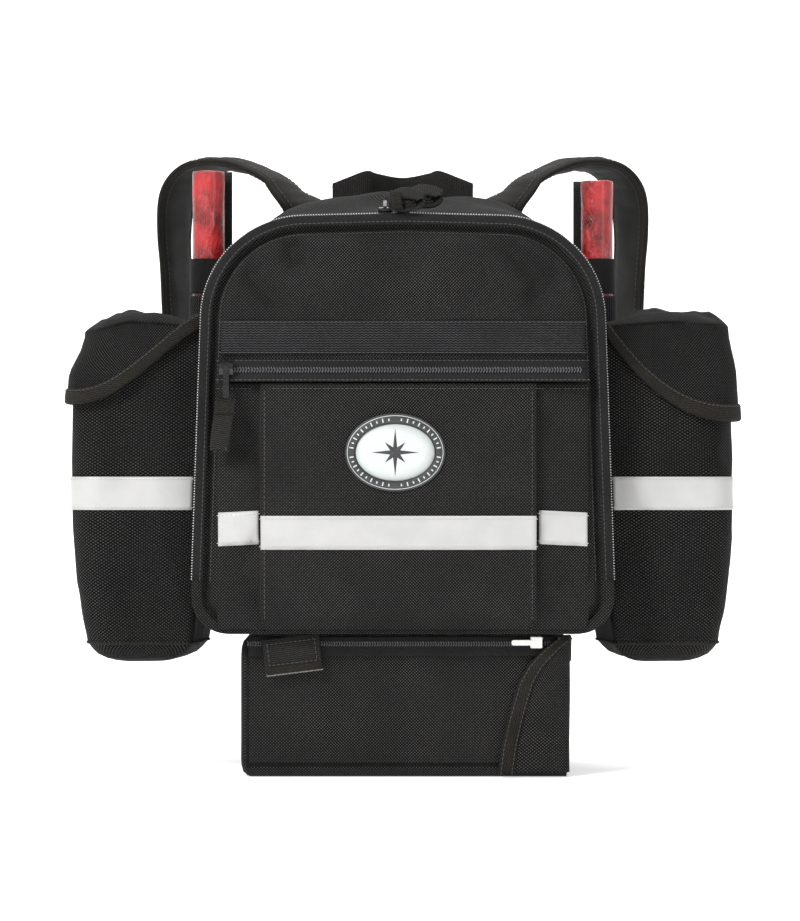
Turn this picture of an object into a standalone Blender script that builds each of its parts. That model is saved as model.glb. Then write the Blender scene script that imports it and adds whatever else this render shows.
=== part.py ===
"""Field backpack for line crews: a zipped clamshell bag with a bellows pocket, two side bottle pouches, two flare
sleeves, a shelter pouch underneath, a padded harness and a folding hip belt.

X runs across the pack, Y from its front towards the wearer, and Z up. The origin is the middle of the shelter pouch's
flat underside, on which the pack stands. Everything is in metres.
"""

import math

import bmesh
import bpy
from mathutils import Matrix, Vector

# Driving dimensions of the main bag.
BAG_HALF_BOTTOM = 0.160
BAG_HALF_TOP = 0.1495
BAG_BOTTOM = 0.109
BAG_TOP = 0.4216
BAG_CROWN = 0.004
BAG_TOP_RADIUS = 0.078
BAG_BOTTOM_RADIUS = 0.028
REAR_NARROWER = 0.0255
REAR_HIGHER = 0.021
LID_FRONT_Y = -0.0905
HINGE_Y = -0.0808
SHELL_FRONT_Y = -0.0786
SHELL_REAR_Y = 0.080
WALL = 0.0035
GAP = 0.0004

# The front pocket, on the lid.
POCKET_FRONT_Y = -0.104
POCKET_HALF = 0.1035
POCKET_BOTTOM = 0.1162
POCKET_TOP = 0.2942
BELLOWS_HALF = 0.140
POCKET_WALL = 0.0025
TAPE_WIDTH = 0.0253
TAPE_THICK = 0.0008
TAPE_Z = 0.1855
POCKET_ZIP_Y = -0.0978
POCKET_ZIP_Z = 0.3066
POCKET_ZIP_TILT = math.radians(33)

# The zips.
ZIP_BAND = 0.007
ZIP_THICK = 0.0016
ZIP_END_Z = 0.150

# Side pouches: the corners of their plan on the left side, mirrored on the right.
POUCH_OUTER_X = 0.2525
POUCH_FRONT_Y = -0.058
POUCH_REAR_Y = 0.030
POUCH_RADIUS = 0.026
POUCH_BOTTOM = 0.085
POUCH_TOP = 0.3385
POUCH_TOP_RISE = 0.0065
POUCH_WALL = 0.003
POUCH_TAPE_Z = 0.2145
FLAP_WALL = 0.0025

# Flares and their sleeves.
FLARE_X = 0.1540
FLARE_Y = 0.0530
FLARE_RADIUS = 0.0130
FLARE_BOTTOM = 0.212
FLARE_TOP = 0.461
SLEEVE_BOTTOM = 0.206
SLEEVE_TOP = 0.3695
ELASTIC_BOTTOM = 0.3715
ELASTIC_TOP = 0.399

# The shelter pouch underneath.
SHELTER_HALF = 0.124
SHELTER_HALF_DEPTH = 0.072
SHELTER_TOP = 0.1052
SHELTER_WALL = 0.003

# The back, the belt and the harness.
PAD_FRONT_Y = 0.0828
PAD_THICK = 0.015
BELT_HINGE_X = 0.118
BELT_Y = 0.0985
BELT_THICK = 0.012
BELT_LOW = 0.135
BELT_HIGH = 0.205
STRAP_THICK = 0.010
STRAP_WIDTH = 0.056
TOP_ANCHOR = (0.086, 0.0905, 0.437)
LOW_ANCHOR = (0.140, 0.0865, 0.119)

UP = Vector((0, 0, 1))
RIGHT = Vector((1, 0, 0))
BACK = Vector((0, 1, 0))

MATERIALS = {
    "ballistic_nylon": ((0.030, 0.030, 0.031), 0.80, 0.0),
    "pack_cloth": ((0.026, 0.026, 0.027), 0.78, 0.0),
    "webbing": ((0.022, 0.022, 0.023), 0.70, 0.0),
    "binding": ((0.035, 0.033, 0.029), 0.85, 0.0),
    "spacer_mesh": ((0.020, 0.020, 0.021), 0.90, 0.0),
    "reflective_tape": ((0.78, 0.78, 0.77), 0.35, 0.0),
    "badge_rubber": ((0.72, 0.75, 0.73), 0.50, 0.0),
    "zip_tape": ((0.028, 0.028, 0.029), 0.75, 0.0),
    "black_metal": ((0.040, 0.040, 0.042), 0.30, 1.0),
    "bright_metal": ((0.75, 0.75, 0.73), 0.25, 1.0),
    "acetal": ((0.025, 0.025, 0.026), 0.40, 0.0),
    "frame_plastic": ((0.050, 0.050, 0.052), 0.50, 0.0),
    "flare_paper": ((0.50, 0.035, 0.035), 0.45, 0.0),
}

pivots = {}


# ---------------------------------------------------------------------------------------------- scene helpers


def clear_scene():
    for obj in list(bpy.data.objects):
        bpy.data.objects.remove(obj)


def material(name):
    """The named Principled material, made once."""
    found = bpy.data.materials.get(name)
    if found:
        return found
    colour, roughness, metallic = MATERIALS[name]
    made = bpy.data.materials.new(name)
    made.use_nodes = True
    shader = made.node_tree.nodes["Principled BSDF"]
    shader.inputs["Base Color"].default_value = (*colour, 1.0)
    shader.inputs["Roughness"].default_value = roughness
    shader.inputs["Metallic"].default_value = metallic
    return made


def pivot(body, point, parent=None):
    """An empty on a moving body's joint axis. Everything on that body hangs from it."""
    empty = bpy.data.objects.new("pivot_" + body, None)
    bpy.context.scene.collection.objects.link(empty)
    base = Vector()
    if parent:
        empty.parent, base = pivots[parent]
    empty.location = Vector(point) - base
    pivots[body] = (empty, Vector(point))


def add(name, points, faces, finish, body=None, smooth=False):
    """A node from points in the pack's frame, hung on its body's pivot."""
    empty, origin = pivots.get(body, (None, Vector()))
    mesh = bpy.data.meshes.new(name)
    mesh.from_pydata([Vector(p) - origin for p in points], [], faces)
    shape = bmesh.new()
    shape.from_mesh(mesh)
    bmesh.ops.recalc_face_normals(shape, faces=shape.faces)
    shape.to_mesh(mesh)
    shape.free()
    mesh.materials.append(material(finish))
    if smooth:
        mesh.shade_smooth()
        mesh.set_sharp_from_angle(angle=math.radians(40))
    obj = bpy.data.objects.new(name, mesh)
    bpy.context.scene.collection.objects.link(obj)
    obj.parent = empty
    return obj


def bevel(obj, width, segments=1):
    modifier = obj.modifiers.new("rounded", "BEVEL")
    modifier.width = width
    modifier.segments = segments
    modifier.limit_method = "ANGLE"
    return obj


def boolean(obj, other, operation):
    """Cuts or joins other, a helper that isn't itself a part."""
    other.hide_render = True
    other.display_type = "WIRE"
    modifier = obj.modifiers.new(operation.lower(), "BOOLEAN")
    modifier.operation = operation
    modifier.object = other
    return obj


# ---------------------------------------------------------------------------------------------- shape helpers


def rounded_polygon(corners):
    """A convex outline. Each corner is (u, v, radius, steps), and a radius of 0 keeps it sharp."""
    points = []
    for i, (u, v, radius, steps) in enumerate(corners):
        here = Vector((u, v))
        if radius <= 0:
            points.append((u, v))
            continue
        before = (Vector(corners[i - 1][:2]) - here).normalized()
        after = (Vector(corners[(i + 1) % len(corners)][:2]) - here).normalized()
        half_angle = before.angle(after) / 2
        centre = here + (before + after).normalized() * (radius / math.sin(half_angle))
        start = here + before * (radius / math.tan(half_angle)) - centre
        end = here + after * (radius / math.tan(half_angle)) - centre
        first = math.atan2(start.y, start.x)
        sweep = math.remainder(math.atan2(end.y, end.x) - first, 2 * math.pi)
        for k in range(steps + 1):
            angle = first + sweep * k / steps
            points.append((centre.x + radius * math.cos(angle), centre.y + radius * math.sin(angle)))
    return points


def rectangle(low_u, low_v, high_u, high_v, radius=0.0, steps=3):
    corners = ((low_u, low_v), (high_u, low_v), (high_u, high_v), (low_u, high_v))
    return rounded_polygon([(u, v, radius, steps) for u, v in corners])


def ellipse(centre_u, centre_v, half_u, half_v, sides):
    turns = (2 * math.pi * k / sides for k in range(sides))
    return [(centre_u + half_u * math.cos(a), centre_v + half_v * math.sin(a)) for a in turns]


def facing_y(outline, y):
    return [Vector((u, y, v)) for u, v in outline]


def facing_x(outline, x):
    return [Vector((x, u, v)) for u, v in outline]


def facing_z(outline, z):
    return [Vector((u, v, z)) for u, v in outline]


def side_faces(first, second, count):
    """Quads between two rings of points that start at these indices."""
    return [(first + k, first + (k + 1) % count, second + (k + 1) % count, second + k) for k in range(count)]


def loft(name, rings, finish, body=None, smooth=False):
    """A solid through the rings, closed at both ends."""
    count = len(rings[0])
    faces = []
    for i in range(len(rings) - 1):
        faces += side_faces(i * count, (i + 1) * count, count)
    faces.append(tuple(range(count)))
    faces.append(tuple(range((len(rings) - 1) * count, len(rings) * count)))
    return add(name, [p for ring in rings for p in ring], faces, finish, body, smooth)


def tub(name, outer, inner, finish, body=None, smooth=False):
    """A hollow open at one end. Both lists of rings run from the rim to the closed end."""
    count = len(outer[0])
    points = [p for ring in outer + inner for p in ring]
    faces = []
    for base, rings in ((0, outer), (len(outer) * count, inner)):
        for i in range(len(rings) - 1):
            faces += side_faces(base + i * count, base + (i + 1) * count, count)
        last = base + (len(rings) - 1) * count
        faces.append(tuple(range(last, last + count)))
    faces += side_faces(0, len(outer) * count, count)
    return add(name, points, faces, finish, body, smooth)


def hoop(name, rings, finish, body=None, smooth=False):
    """A ring-shaped solid whose last section joins its first."""
    count = len(rings[0])
    faces = []
    for i in range(len(rings)):
        faces += side_faces(i * count, (i + 1) % len(rings) * count, count)
    return add(name, [p for ring in rings for p in ring], faces, finish, body, smooth)


def slab(name, outline, low_y, high_y, finish, body=None):
    return loft(name, [facing_y(outline, low_y), facing_y(outline, high_y)], finish, body)


def block(name, low, high, finish, body=None):
    outline = rectangle(low[0], low[2], high[0], high[2])
    return slab(name, outline, low[1], high[1], finish, body)


def curve_through(points, steps):
    """Points on a smooth curve through the given ones, with this many steps between each two."""
    ends = [2 * points[0] - points[1], *points, 2 * points[-1] - points[-2]]
    found = []
    for a, b, c, d in zip(ends, ends[1:], ends[2:], ends[3:]):
        for k in range(steps):
            t = k / steps
            found.append(
                0.5 * (2 * b + (c - a) * t + (2 * a - 5 * b + 4 * c - d) * t**2 + (3 * b - a - 3 * c + d) * t**3)
            )
    found.append(points[-1])
    return found


def ribbon(name, path, across, width, thick, finish, body=None):
    """A flat band of rectangular section. across is its width's direction, one for all points or one for each."""
    if isinstance(across, Vector):
        across = [across] * len(path)
    widths = width if isinstance(width, list) else [width] * len(path)
    rings = []
    for i, point in enumerate(path):
        tangent = (path[min(i + 1, len(path) - 1)] - path[max(i - 1, 0)]).normalized()
        side = (across[i] - tangent * across[i].dot(tangent)).normalized() * widths[i] / 2
        out = tangent.cross(side).normalized() * thick / 2
        rings.append([point - side - out, point + side - out, point + side + out, point - side + out])
    return loft(name, rings, finish, body)


def mirrored(point, side):
    """A point or direction given for the right side, on this side: -1 is left and 1 is right."""
    return Vector((side * point[0], point[1], point[2]))


# ---------------------------------------------------------------------------------------------- the main bag


def bag_outline(inset=0.0, rear=False):
    """The bag's arched outline in X and Z, widest at its foot. At the rear it is narrower and taller."""
    narrower = inset + (REAR_NARROWER if rear else 0.0)
    top = BAG_TOP - inset + (REAR_HIGHER if rear else 0.0)
    low = BAG_BOTTOM + inset + (0.003 if rear else 0.0)
    half_low = BAG_HALF_BOTTOM - narrower
    half_top = BAG_HALF_TOP - narrower
    foot = BAG_BOTTOM_RADIUS - inset
    shoulder = BAG_TOP_RADIUS - inset - (0.012 if rear else 0.0)
    return rounded_polygon(
        [
            (-half_low, low, foot, 4),
            (half_low, low, foot, 4),
            (half_top, top, shoulder, 7),
            (0, top + BAG_CROWN, 0.3, 3),
            (-half_top, top, shoulder, 7),
        ]
    )


def zip_path(inset):
    """The bag's outline from one end of the main zip, up, over the top and down to the other end."""
    arch = [p for p in bag_outline(inset) if p[1] > BAG_TOP - BAG_TOP_RADIUS - 0.01]
    share = (ZIP_END_Z - BAG_BOTTOM) / (BAG_TOP - BAG_BOTTOM)
    half = BAG_HALF_BOTTOM + (BAG_HALF_TOP - BAG_HALF_BOTTOM) * share - inset
    return [Vector((half, 0, ZIP_END_Z)), *[Vector((x, 0, z)) for x, z in arch], Vector((-half, 0, ZIP_END_Z))]


def zip_half(name, y, body=None):
    """One tape of the main zip, lying flat against the rim that it is sewn to."""
    path = [p + BACK * y for p in zip_path(ZIP_BAND / 2 + 0.0003)]
    across = []
    for i in range(len(path)):
        tangent = path[min(i + 1, len(path) - 1)] - path[max(i - 1, 0)]
        across.append(tangent.cross(BACK).normalized())
    return ribbon(name, path, across, ZIP_BAND, ZIP_THICK, "zip_tape", body)


def main_bag():
    tub(
        "main_shell",
        [facing_y(bag_outline(0.0035), SHELL_FRONT_Y), facing_y(bag_outline(0.0035, True), SHELL_REAR_Y)],
        [
            facing_y(bag_outline(0.0035 + WALL), SHELL_FRONT_Y),
            facing_y(bag_outline(0.0035 + WALL, True), SHELL_REAR_Y - WALL),
        ],
        "pack_cloth",
        smooth=True,
    )
    zip_half("zip_tape_shell", SHELL_FRONT_Y - GAP - ZIP_THICK / 2)


def back_of_bag():
    sheet = rectangle(-0.120, 0.128, 0.120, 0.424, 0.024, 4)
    slab("frame_sheet", sheet, SHELL_REAR_Y + GAP, PAD_FRONT_Y - GAP, "frame_plastic")
    upper = rectangle(-0.118, 0.219, 0.118, 0.424, 0.022, 4)
    lower = rectangle(-0.124, 0.120, 0.124, 0.2145, 0.016, 4)
    for name, outline in (("back_pad", upper), ("lumbar_pad", lower)):
        bevel(slab(name, outline, PAD_FRONT_Y, PAD_FRONT_Y + PAD_THICK, "spacer_mesh"), 0.003)
    block("yoke_webbing", (-0.056, SHELL_REAR_Y + GAP, 0.4265), (0.056, 0.0820, 0.4400), "webbing")


# ---------------------------------------------------------------------------------------------- the lid


def lid():
    """The clamshell front with its half of the main zip. It folds down about its lower rear edge."""
    pivot("lid", (0, HINGE_Y, BAG_BOTTOM))
    tub(
        "front_panel",
        [
            facing_y(bag_outline(), HINGE_Y - 0.0022),
            facing_y(bag_outline(), LID_FRONT_Y + 0.0035),
            facing_y(bag_outline(0.005), LID_FRONT_Y),
        ],
        [
            facing_y(bag_outline(WALL), HINGE_Y - 0.0022),
            facing_y(bag_outline(WALL), LID_FRONT_Y + 0.0036),
            facing_y(bag_outline(WALL + 0.0005), LID_FRONT_Y + WALL + 0.0002),
        ],
        "ballistic_nylon",
        "lid",
        smooth=True,
    )
    zip_half("zip_tape_lid", HINGE_Y - 0.0010, "lid")


def front_pocket():
    """A bellows pocket open at its top, under the slanted zip that closes it."""
    foot_y = LID_FRONT_Y - GAP
    walls = []
    for inset in (0.0, POCKET_WALL):
        base = rectangle(
            -BELLOWS_HALF + inset, POCKET_BOTTOM - 0.004 + inset, BELLOWS_HALF - inset, POCKET_TOP + 0.003 - inset
        )
        face = rectangle(-POCKET_HALF + inset, POCKET_BOTTOM + inset, POCKET_HALF - inset, POCKET_TOP - inset)
        walls.append([facing_y(base, foot_y), facing_y(face, POCKET_FRONT_Y + inset)])
    pocket = tub("pocket_panel", walls[0], walls[1], "ballistic_nylon", "lid")
    mouth = block(
        "mouth_cutter", (-0.100, POCKET_FRONT_Y + POCKET_WALL, POCKET_TOP - 0.006), (0.100, -0.085, 0.31), "webbing"
    )
    boolean(pocket, mouth, "DIFFERENCE")

    down = Vector((0, -math.sin(POCKET_ZIP_TILT), -math.cos(POCKET_ZIP_TILT)))
    middle = Vector((0, POCKET_ZIP_Y, POCKET_ZIP_Z))
    ends = [middle - RIGHT * 0.139, middle + RIGHT * 0.139]
    ribbon("pocket_zip_tape", ends, down, 0.0195, ZIP_THICK, "zip_tape", "lid")

    loop_y = LID_FRONT_Y - 0.0019
    block("loop_strip", (-0.1365, loop_y, 0.3172), (0.1365, LID_FRONT_Y - 0.0003, 0.3430), "webbing", "lid")
    oval = ellipse(-0.004, 0.2443, 0.0375, 0.0292, 28)
    slab("badge", oval, POCKET_FRONT_Y - 0.0026, POCKET_FRONT_Y - 0.0003, "badge_rubber", "lid")


def pocket_tapes():
    """Reflective tape across the pocket's face and round onto its two bellows."""
    face_y = POCKET_FRONT_Y - 0.0003
    half = TAPE_WIDTH / 2
    low = (-POCKET_HALF, face_y - TAPE_THICK, TAPE_Z - half)
    high = (POCKET_HALF, face_y, TAPE_Z + half)
    block("pocket_tape_centre", low, high, "reflective_tape", "lid")
    edge = Vector((POCKET_HALF, POCKET_FRONT_Y, 0))
    foot = Vector((BELLOWS_HALF, LID_FRONT_Y - GAP, 0))
    out = (foot - edge).cross(UP).normalized() * (TAPE_THICK / 2 + 0.0003)
    for side, name in ((-1, "pocket_tape_left"), (1, "pocket_tape_right")):
        path = [mirrored(edge.lerp(foot, t) + out + UP * (TAPE_Z + 0.003), side) for t in (0.04, 0.94)]
        ribbon(name, path, UP, TAPE_WIDTH, TAPE_THICK, "reflective_tape", "lid")


# ---------------------------------------------------------------------------------------------- sliders and pulls


def pocket_slider():
    """The pocket's slider at the left end of its zip, and the pull and cloth tab that hang from its bridge."""
    x = -0.132
    pivot("pocket_slider", (x, -0.1010, 0.3085), "lid")
    profile = [(-0.0972, 0.3134), (-0.0996, 0.3150), (-0.1064, 0.3120), (-0.1064, 0.3080), (-0.1040, 0.3036)]
    rings = [facing_x(profile, x - 0.0052), facing_x(profile, x + 0.0052)]
    loft("pocket_zip_slider", rings, "black_metal", "pocket_slider")
    pivot("pocket_pull", (x, -0.1079, 0.3096), "pocket_slider")
    bar = rectangle(x - 0.0022, 0.2860, x + 0.0022, 0.3105, 0.0015, 2)
    slab("pocket_zip_pull", bar, -0.1088, -0.1070, "black_metal", "pocket_pull")
    tab = rectangle(x - 0.0065, 0.2490, x + 0.0065, 0.2855, 0.002, 2)
    slab("pocket_pull_tab", tab, -0.1095, -0.1066, "webbing", "pocket_pull")


def main_sliders():
    """Two sliders that meet at the middle of the main zip, each with a bail and a webbing tab lying over."""
    top = BAG_TOP + BAG_CROWN
    lanes = {"left": (-0.0135, -0.0966, -0.0860, 0.0012), "right": (0.0, -0.0752, -0.0646, 0.0052)}
    for name, (x, low_y, high_y, lift) in lanes.items():
        slider, pull = "main_slider_" + name, "main_pull_" + name
        pivot(slider, (x, HINGE_Y, top + 0.002))
        low = (x - 0.0055, HINGE_Y - 0.0050, top + 0.0007)
        high = (x + 0.0055, HINGE_Y + 0.0052, top + 0.0045)
        bevel(block("main_zip_slider_" + name, low, high, "black_metal", slider), 0.0008)
        base = top + lift + 0.0036
        pivot(pull, (x, (low_y + high_y) / 2, base + 0.0020), slider)
        bail_low, bail_high = (low_y + 0.003, high_y + 0.0052) if x < 0 else (low_y - 0.0052, high_y - 0.003)
        block(
            "main_zip_bail_" + name,
            (x - 0.0012, bail_low, max(base, top + 0.0049)),
            (x + 0.0012, bail_high, base + 0.0040),
            "black_metal",
            pull,
        )
        tab = rectangle(x + 0.0016, base - 0.0010, x + 0.0276, base + 0.0048, 0.0015, 2)
        slab("main_pull_tab_" + name, tab, low_y, high_y, "webbing", pull)


def bottom_zip():
    """The lower compartment's zip under the bag's front edge, with its bright slider and small pull."""
    front = -SHELTER_HALF_DEPTH - GAP
    block("bottom_zip_tape", (-0.117, front - ZIP_THICK, 0.0915), (0.117, front, 0.1065), "zip_tape")
    x, face = 0.101, front - ZIP_THICK - GAP
    pivot("bottom_slider", (x, face, 0.1020))
    low, high = (x - 0.0048, face - 0.0032, 0.0972), (x + 0.0048, face, 0.1068)
    bevel(block("bottom_zip_slider", low, high, "bright_metal", "bottom_slider"), 0.0007)
    bar = rectangle(x - 0.0190, 0.1000, x - 0.0018, 0.1040, 0.0012, 2)
    slab("bottom_zip_pull", bar, face - 0.0048, face - 0.0036, "bright_metal", "bottom_slider")


# ---------------------------------------------------------------------------------------------- side pouches


def bag_side(y, z):
    """Half the bag's width at this depth and height, between its rounded corners."""
    up = (max(z, BAG_BOTTOM + BAG_BOTTOM_RADIUS) - BAG_BOTTOM) / (BAG_TOP - BAG_BOTTOM)
    back = (y - SHELL_FRONT_Y) / (SHELL_REAR_Y - SHELL_FRONT_Y)
    return BAG_HALF_BOTTOM + (BAG_HALF_TOP - BAG_HALF_BOTTOM) * up - 0.0035 - REAR_NARROWER * back


def pouch_outline(side, z, inset=0.0, grown=0.0, steps=4):
    """The pouch's plan at this height. inset shrinks it all round, and grown spreads all but its inner wall."""
    radius = POUCH_RADIUS - 0.6 * inset
    front, rear = POUCH_FRONT_Y + inset - grown, POUCH_REAR_Y - inset + grown
    outside = POUCH_OUTER_X - inset + grown
    corners = [
        (bag_side(rear, z) + 0.0015 + inset, rear, 0.004, 2),
        (bag_side(front, z) + 0.0015 + inset, front, 0.004, 2),
        (outside, front, radius, steps),
        (outside, rear, radius, steps),
    ]
    return rounded_polygon([(side * x, y, r, n) for x, y, r, n in corners])


def crown(x, height):
    """This height at the bag, rising towards the outside as the pouch's top does."""
    share = (abs(x) - 0.145) / (POUCH_OUTER_X - 0.145)
    return height + POUCH_TOP_RISE * min(1.0, max(0.0, share))


def side_pouch(side, name):
    """A bottle pouch: full round its middle, drawn in at the foot, open at the top under its flap."""
    levels = ((0.240, 0.0), (0.190, 0.0), (0.125, 0.005), (0.098, 0.010), (POUCH_BOTTOM, 0.024))
    rings = []
    for wall in (0.0, POUCH_WALL):
        rim = [Vector((x, y, crown(x, POUCH_TOP))) for x, y in pouch_outline(side, POUCH_TOP, 0.002 + wall)]
        below = [facing_z(pouch_outline(side, z, inset + wall), z) for z, inset in levels[:-1]]
        floor = facing_z(pouch_outline(side, POUCH_BOTTOM, levels[-1][1] + wall), POUCH_BOTTOM + wall)
        rings.append([rim, *below, floor])
    tub("pouch_" + name, rings[0], rings[1], "ballistic_nylon", smooth=True)
    grown = 0.0003 + TAPE_THICK / 2
    around = [Vector((x, y, POUCH_TAPE_Z)) for x, y in pouch_outline(side, POUCH_TAPE_Z, 0.0, grown, 6)]
    outside = [p for p in around if abs(p.x) > 0.2 and p.y < POUCH_REAR_Y - 0.015]
    outside.sort(key=lambda p: abs(p.x) + p.y)
    start = Vector((side * 0.1575, POUCH_FRONT_Y - grown, POUCH_TAPE_Z))
    ribbon("pouch_tape_" + name, [start, *outside], UP, TAPE_WIDTH, TAPE_THICK, "reflective_tape")


def flap_edge(x):
    """Height of the flap's bound lower edge: the hinge's at the bag, and lowest at the outside."""
    share = min(1.0, max(0.0, (abs(x) - 0.150) / (0.250 - 0.150))) ** 0.8
    return crown(x, 0.3400) - 0.0625 * share * share * (3 - 2 * share)


def pouch_flap(side, name):
    """The hood over a pouch. It lifts about its inner top edge, along the bag's side."""
    body = "flap_" + name
    top, clear = 0.3425, 0.0008
    pivot(body, (side * (bag_side(0, 0.34) + 0.0015), 0, top))

    def ring(inset, height):
        outline = pouch_outline(side, 0.34, inset, clear + FLAP_WALL)
        return [Vector((x, y, height(x))) for x, y in outline]

    outer = [ring(0.0, flap_edge), ring(0.0, lambda x: crown(x, top - 0.0020)), ring(0.0020, lambda x: crown(x, top))]
    inner = [ring(FLAP_WALL, flap_edge), ring(FLAP_WALL + 0.0010, lambda x: crown(x, top - FLAP_WALL) + 0.0002)]
    inner.insert(1, ring(FLAP_WALL, lambda x: crown(x, top - FLAP_WALL) + 0.0001))
    tub("pouch_flap_" + name, outer, inner, "ballistic_nylon", body, smooth=True)


# ---------------------------------------------------------------------------------------------- flares


def flare(side, name):
    """A road flare held by a closed sleeve and an elastic loop, on a tall backing strip."""
    x = side * FLARE_X
    wall, room = 0.0015, 0.0010
    half = FLARE_RADIUS + room
    inner = rectangle(x - half, FLARE_Y - half, x + half, FLARE_Y + half, 0.006)
    outer = rectangle(x - half - wall, FLARE_Y - half - wall, x + half + wall, FLARE_Y + half + wall, 0.0075)
    sleeve = tub(
        "flare_sleeve_" + name,
        [facing_z(outer, SLEEVE_TOP), facing_z(outer, SLEEVE_BOTTOM)],
        [facing_z(inner, SLEEVE_TOP), facing_z(inner, SLEEVE_BOTTOM + 0.003)],
        "webbing",
    )
    rear = FLARE_Y + half + wall
    strip_x = x - side * 0.0022
    strip = block(
        "strip_helper_" + name,
        (strip_x - 0.0165, rear - 0.0007, SLEEVE_BOTTOM),
        (strip_x + 0.0165, rear + 0.0013, 0.472),
        "webbing",
    )
    boolean(sleeve, strip, "UNION")
    thin = wall - 0.0011
    hoop_outer = rectangle(x - half - 0.0012, FLARE_Y - half - 0.0012, x + half + 0.0012, FLARE_Y + half + thin, 0.007)
    rings = [
        facing_z(hoop_outer, ELASTIC_BOTTOM),
        facing_z(hoop_outer, ELASTIC_TOP),
        facing_z(rectangle(x - half, FLARE_Y - half, x + half, FLARE_Y + half - 0.0006, 0.0062), ELASTIC_TOP),
        facing_z(rectangle(x - half, FLARE_Y - half, x + half, FLARE_Y + half - 0.0006, 0.0062), ELASTIC_BOTTOM),
    ]
    hoop("flare_elastic_" + name, rings, "binding")
    body = "flare_" + name
    pivot(body, (x, FLARE_Y, FLARE_BOTTOM))
    radii = ((FLARE_BOTTOM, FLARE_RADIUS), (FLARE_TOP - 0.003, FLARE_RADIUS), (FLARE_TOP, FLARE_RADIUS - 0.0035))
    loft(body, [facing_z(ellipse(x, FLARE_Y, r, r, 20), z) for z, r in radii], "flare_paper", body, smooth=True)


# ---------------------------------------------------------------------------------------------- shelter pouch


def shelter_pouch():
    """A flat pouch under the bag, open at its right end, with a flap that folds up over it and a webbing tab."""
    depth, top = SHELTER_HALF_DEPTH, SHELTER_TOP
    plan = [
        rectangle(-depth + w, w, depth - w, top - w, 0.010 - w, 3) for w in (0.0, 0.004, SHELTER_WALL)
    ]
    far = -SHELTER_HALF
    tub(
        "shelter_pouch",
        [facing_x(plan[0], SHELTER_HALF), facing_x(plan[0], far + 0.004), facing_x(plan[1], far)],
        [facing_x(plan[2], SHELTER_HALF), facing_x(plan[2], far + 0.004 + SHELTER_WALL)],
        "ballistic_nylon",
        smooth=True,
    )

    low, high = 0.004, 0.088
    pivot("shelter_flap", (SHELTER_HALF + 0.0034, 0, low))
    side_x = SHELTER_HALF + GAP
    front_y = -depth - GAP
    turn = 0.003
    flap_rings = []
    for k in range(9):
        share = k / 8
        z = low + (high - low) * share
        reach = 0.068 + 0.036 * share**1.6
        inner = [(side_x, depth - 0.001), (side_x, front_y), (reach, front_y)]
        outer = [(reach, front_y - turn), (side_x + turn, front_y - turn), (side_x + turn, depth - 0.001)]
        flap_rings.append(facing_z(inner + outer, z))
    loft("shelter_flap", flap_rings, "ballistic_nylon", "shelter_flap")

    tab_y = -0.0803
    pivot("shelter_tab", (-0.085, tab_y + 0.0013, 0.1060))
    tab = block("shelter_tab", (-0.107, tab_y, 0.0790), (-0.064, tab_y + 0.0026, 0.1060), "webbing", "shelter_tab")
    tab.rotation_euler = (0, math.radians(-7), 0)


# ---------------------------------------------------------------------------------------------- harness


def haul_handle():
    """A webbing handle standing on the yoke, bowed back at its middle."""
    pivot("haul_handle", (0, 0.0850, 0.4335))
    half = [(0.0565, 0.0851, 0.4470), (0.0440, 0.0856, 0.4520), (0.0290, 0.0880, 0.4575), (0.0200, 0.0985, 0.4560)]
    left = [mirrored(p, -1) for p in half]
    right = [Vector(p) for p in reversed(half)]
    path = curve_through([*left, Vector((0, 0.1085, 0.4535)), *right], 2)
    ribbon("haul_handle", path, UP, 0.030, 0.0024, "webbing", "haul_handle")


def strap_route(side):
    """The padded strap's middle line and its width's direction, from the yoke over the shoulder and down."""
    stations = [
        ((0.0860, 0.0920, 0.4330), (1.00, 0.00, 0)),
        ((0.0855, 0.0965, 0.4450), (0.75, 0.66, 0)),
        ((0.0930, 0.1030, 0.4570), (0.42, 0.91, 0)),
        ((0.1050, 0.1110, 0.4680), (0.36, 0.93, 0)),
        ((0.1270, 0.1240, 0.4785), (0.36, 0.93, 0)),
        ((0.1470, 0.1350, 0.4820), (0.38, 0.92, 0)),
        ((0.1655, 0.1460, 0.4795), (0.40, 0.92, 0)),
        ((0.1790, 0.1560, 0.4690), (0.40, 0.92, 0)),
        ((0.1865, 0.1650, 0.4520), (0.38, 0.92, 0)),
        ((0.1890, 0.1715, 0.4280), (0.36, 0.93, 0)),
        ((0.1880, 0.1745, 0.4000), (0.34, 0.94, 0)),
        ((0.1855, 0.1725, 0.3650), (0.36, 0.93, 0)),
        ((0.1810, 0.1645, 0.3250), (0.42, 0.91, 0)),
        ((0.1765, 0.1515, 0.2870), (0.52, 0.85, 0)),
        ((0.1715, 0.1360, 0.2500), (0.66, 0.75, 0)),
        ((0.1680, 0.1250, 0.2250), (0.75, 0.66, 0)),
    ]
    path = [mirrored(p, side) for p, _ in stations]
    across = []
    for _, direction in stations:
        x, y, z = direction
        across.append(Vector((x, side * -1 * y, z)))
    return curve_through(path, 2), curve_through(across, 2)


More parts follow.
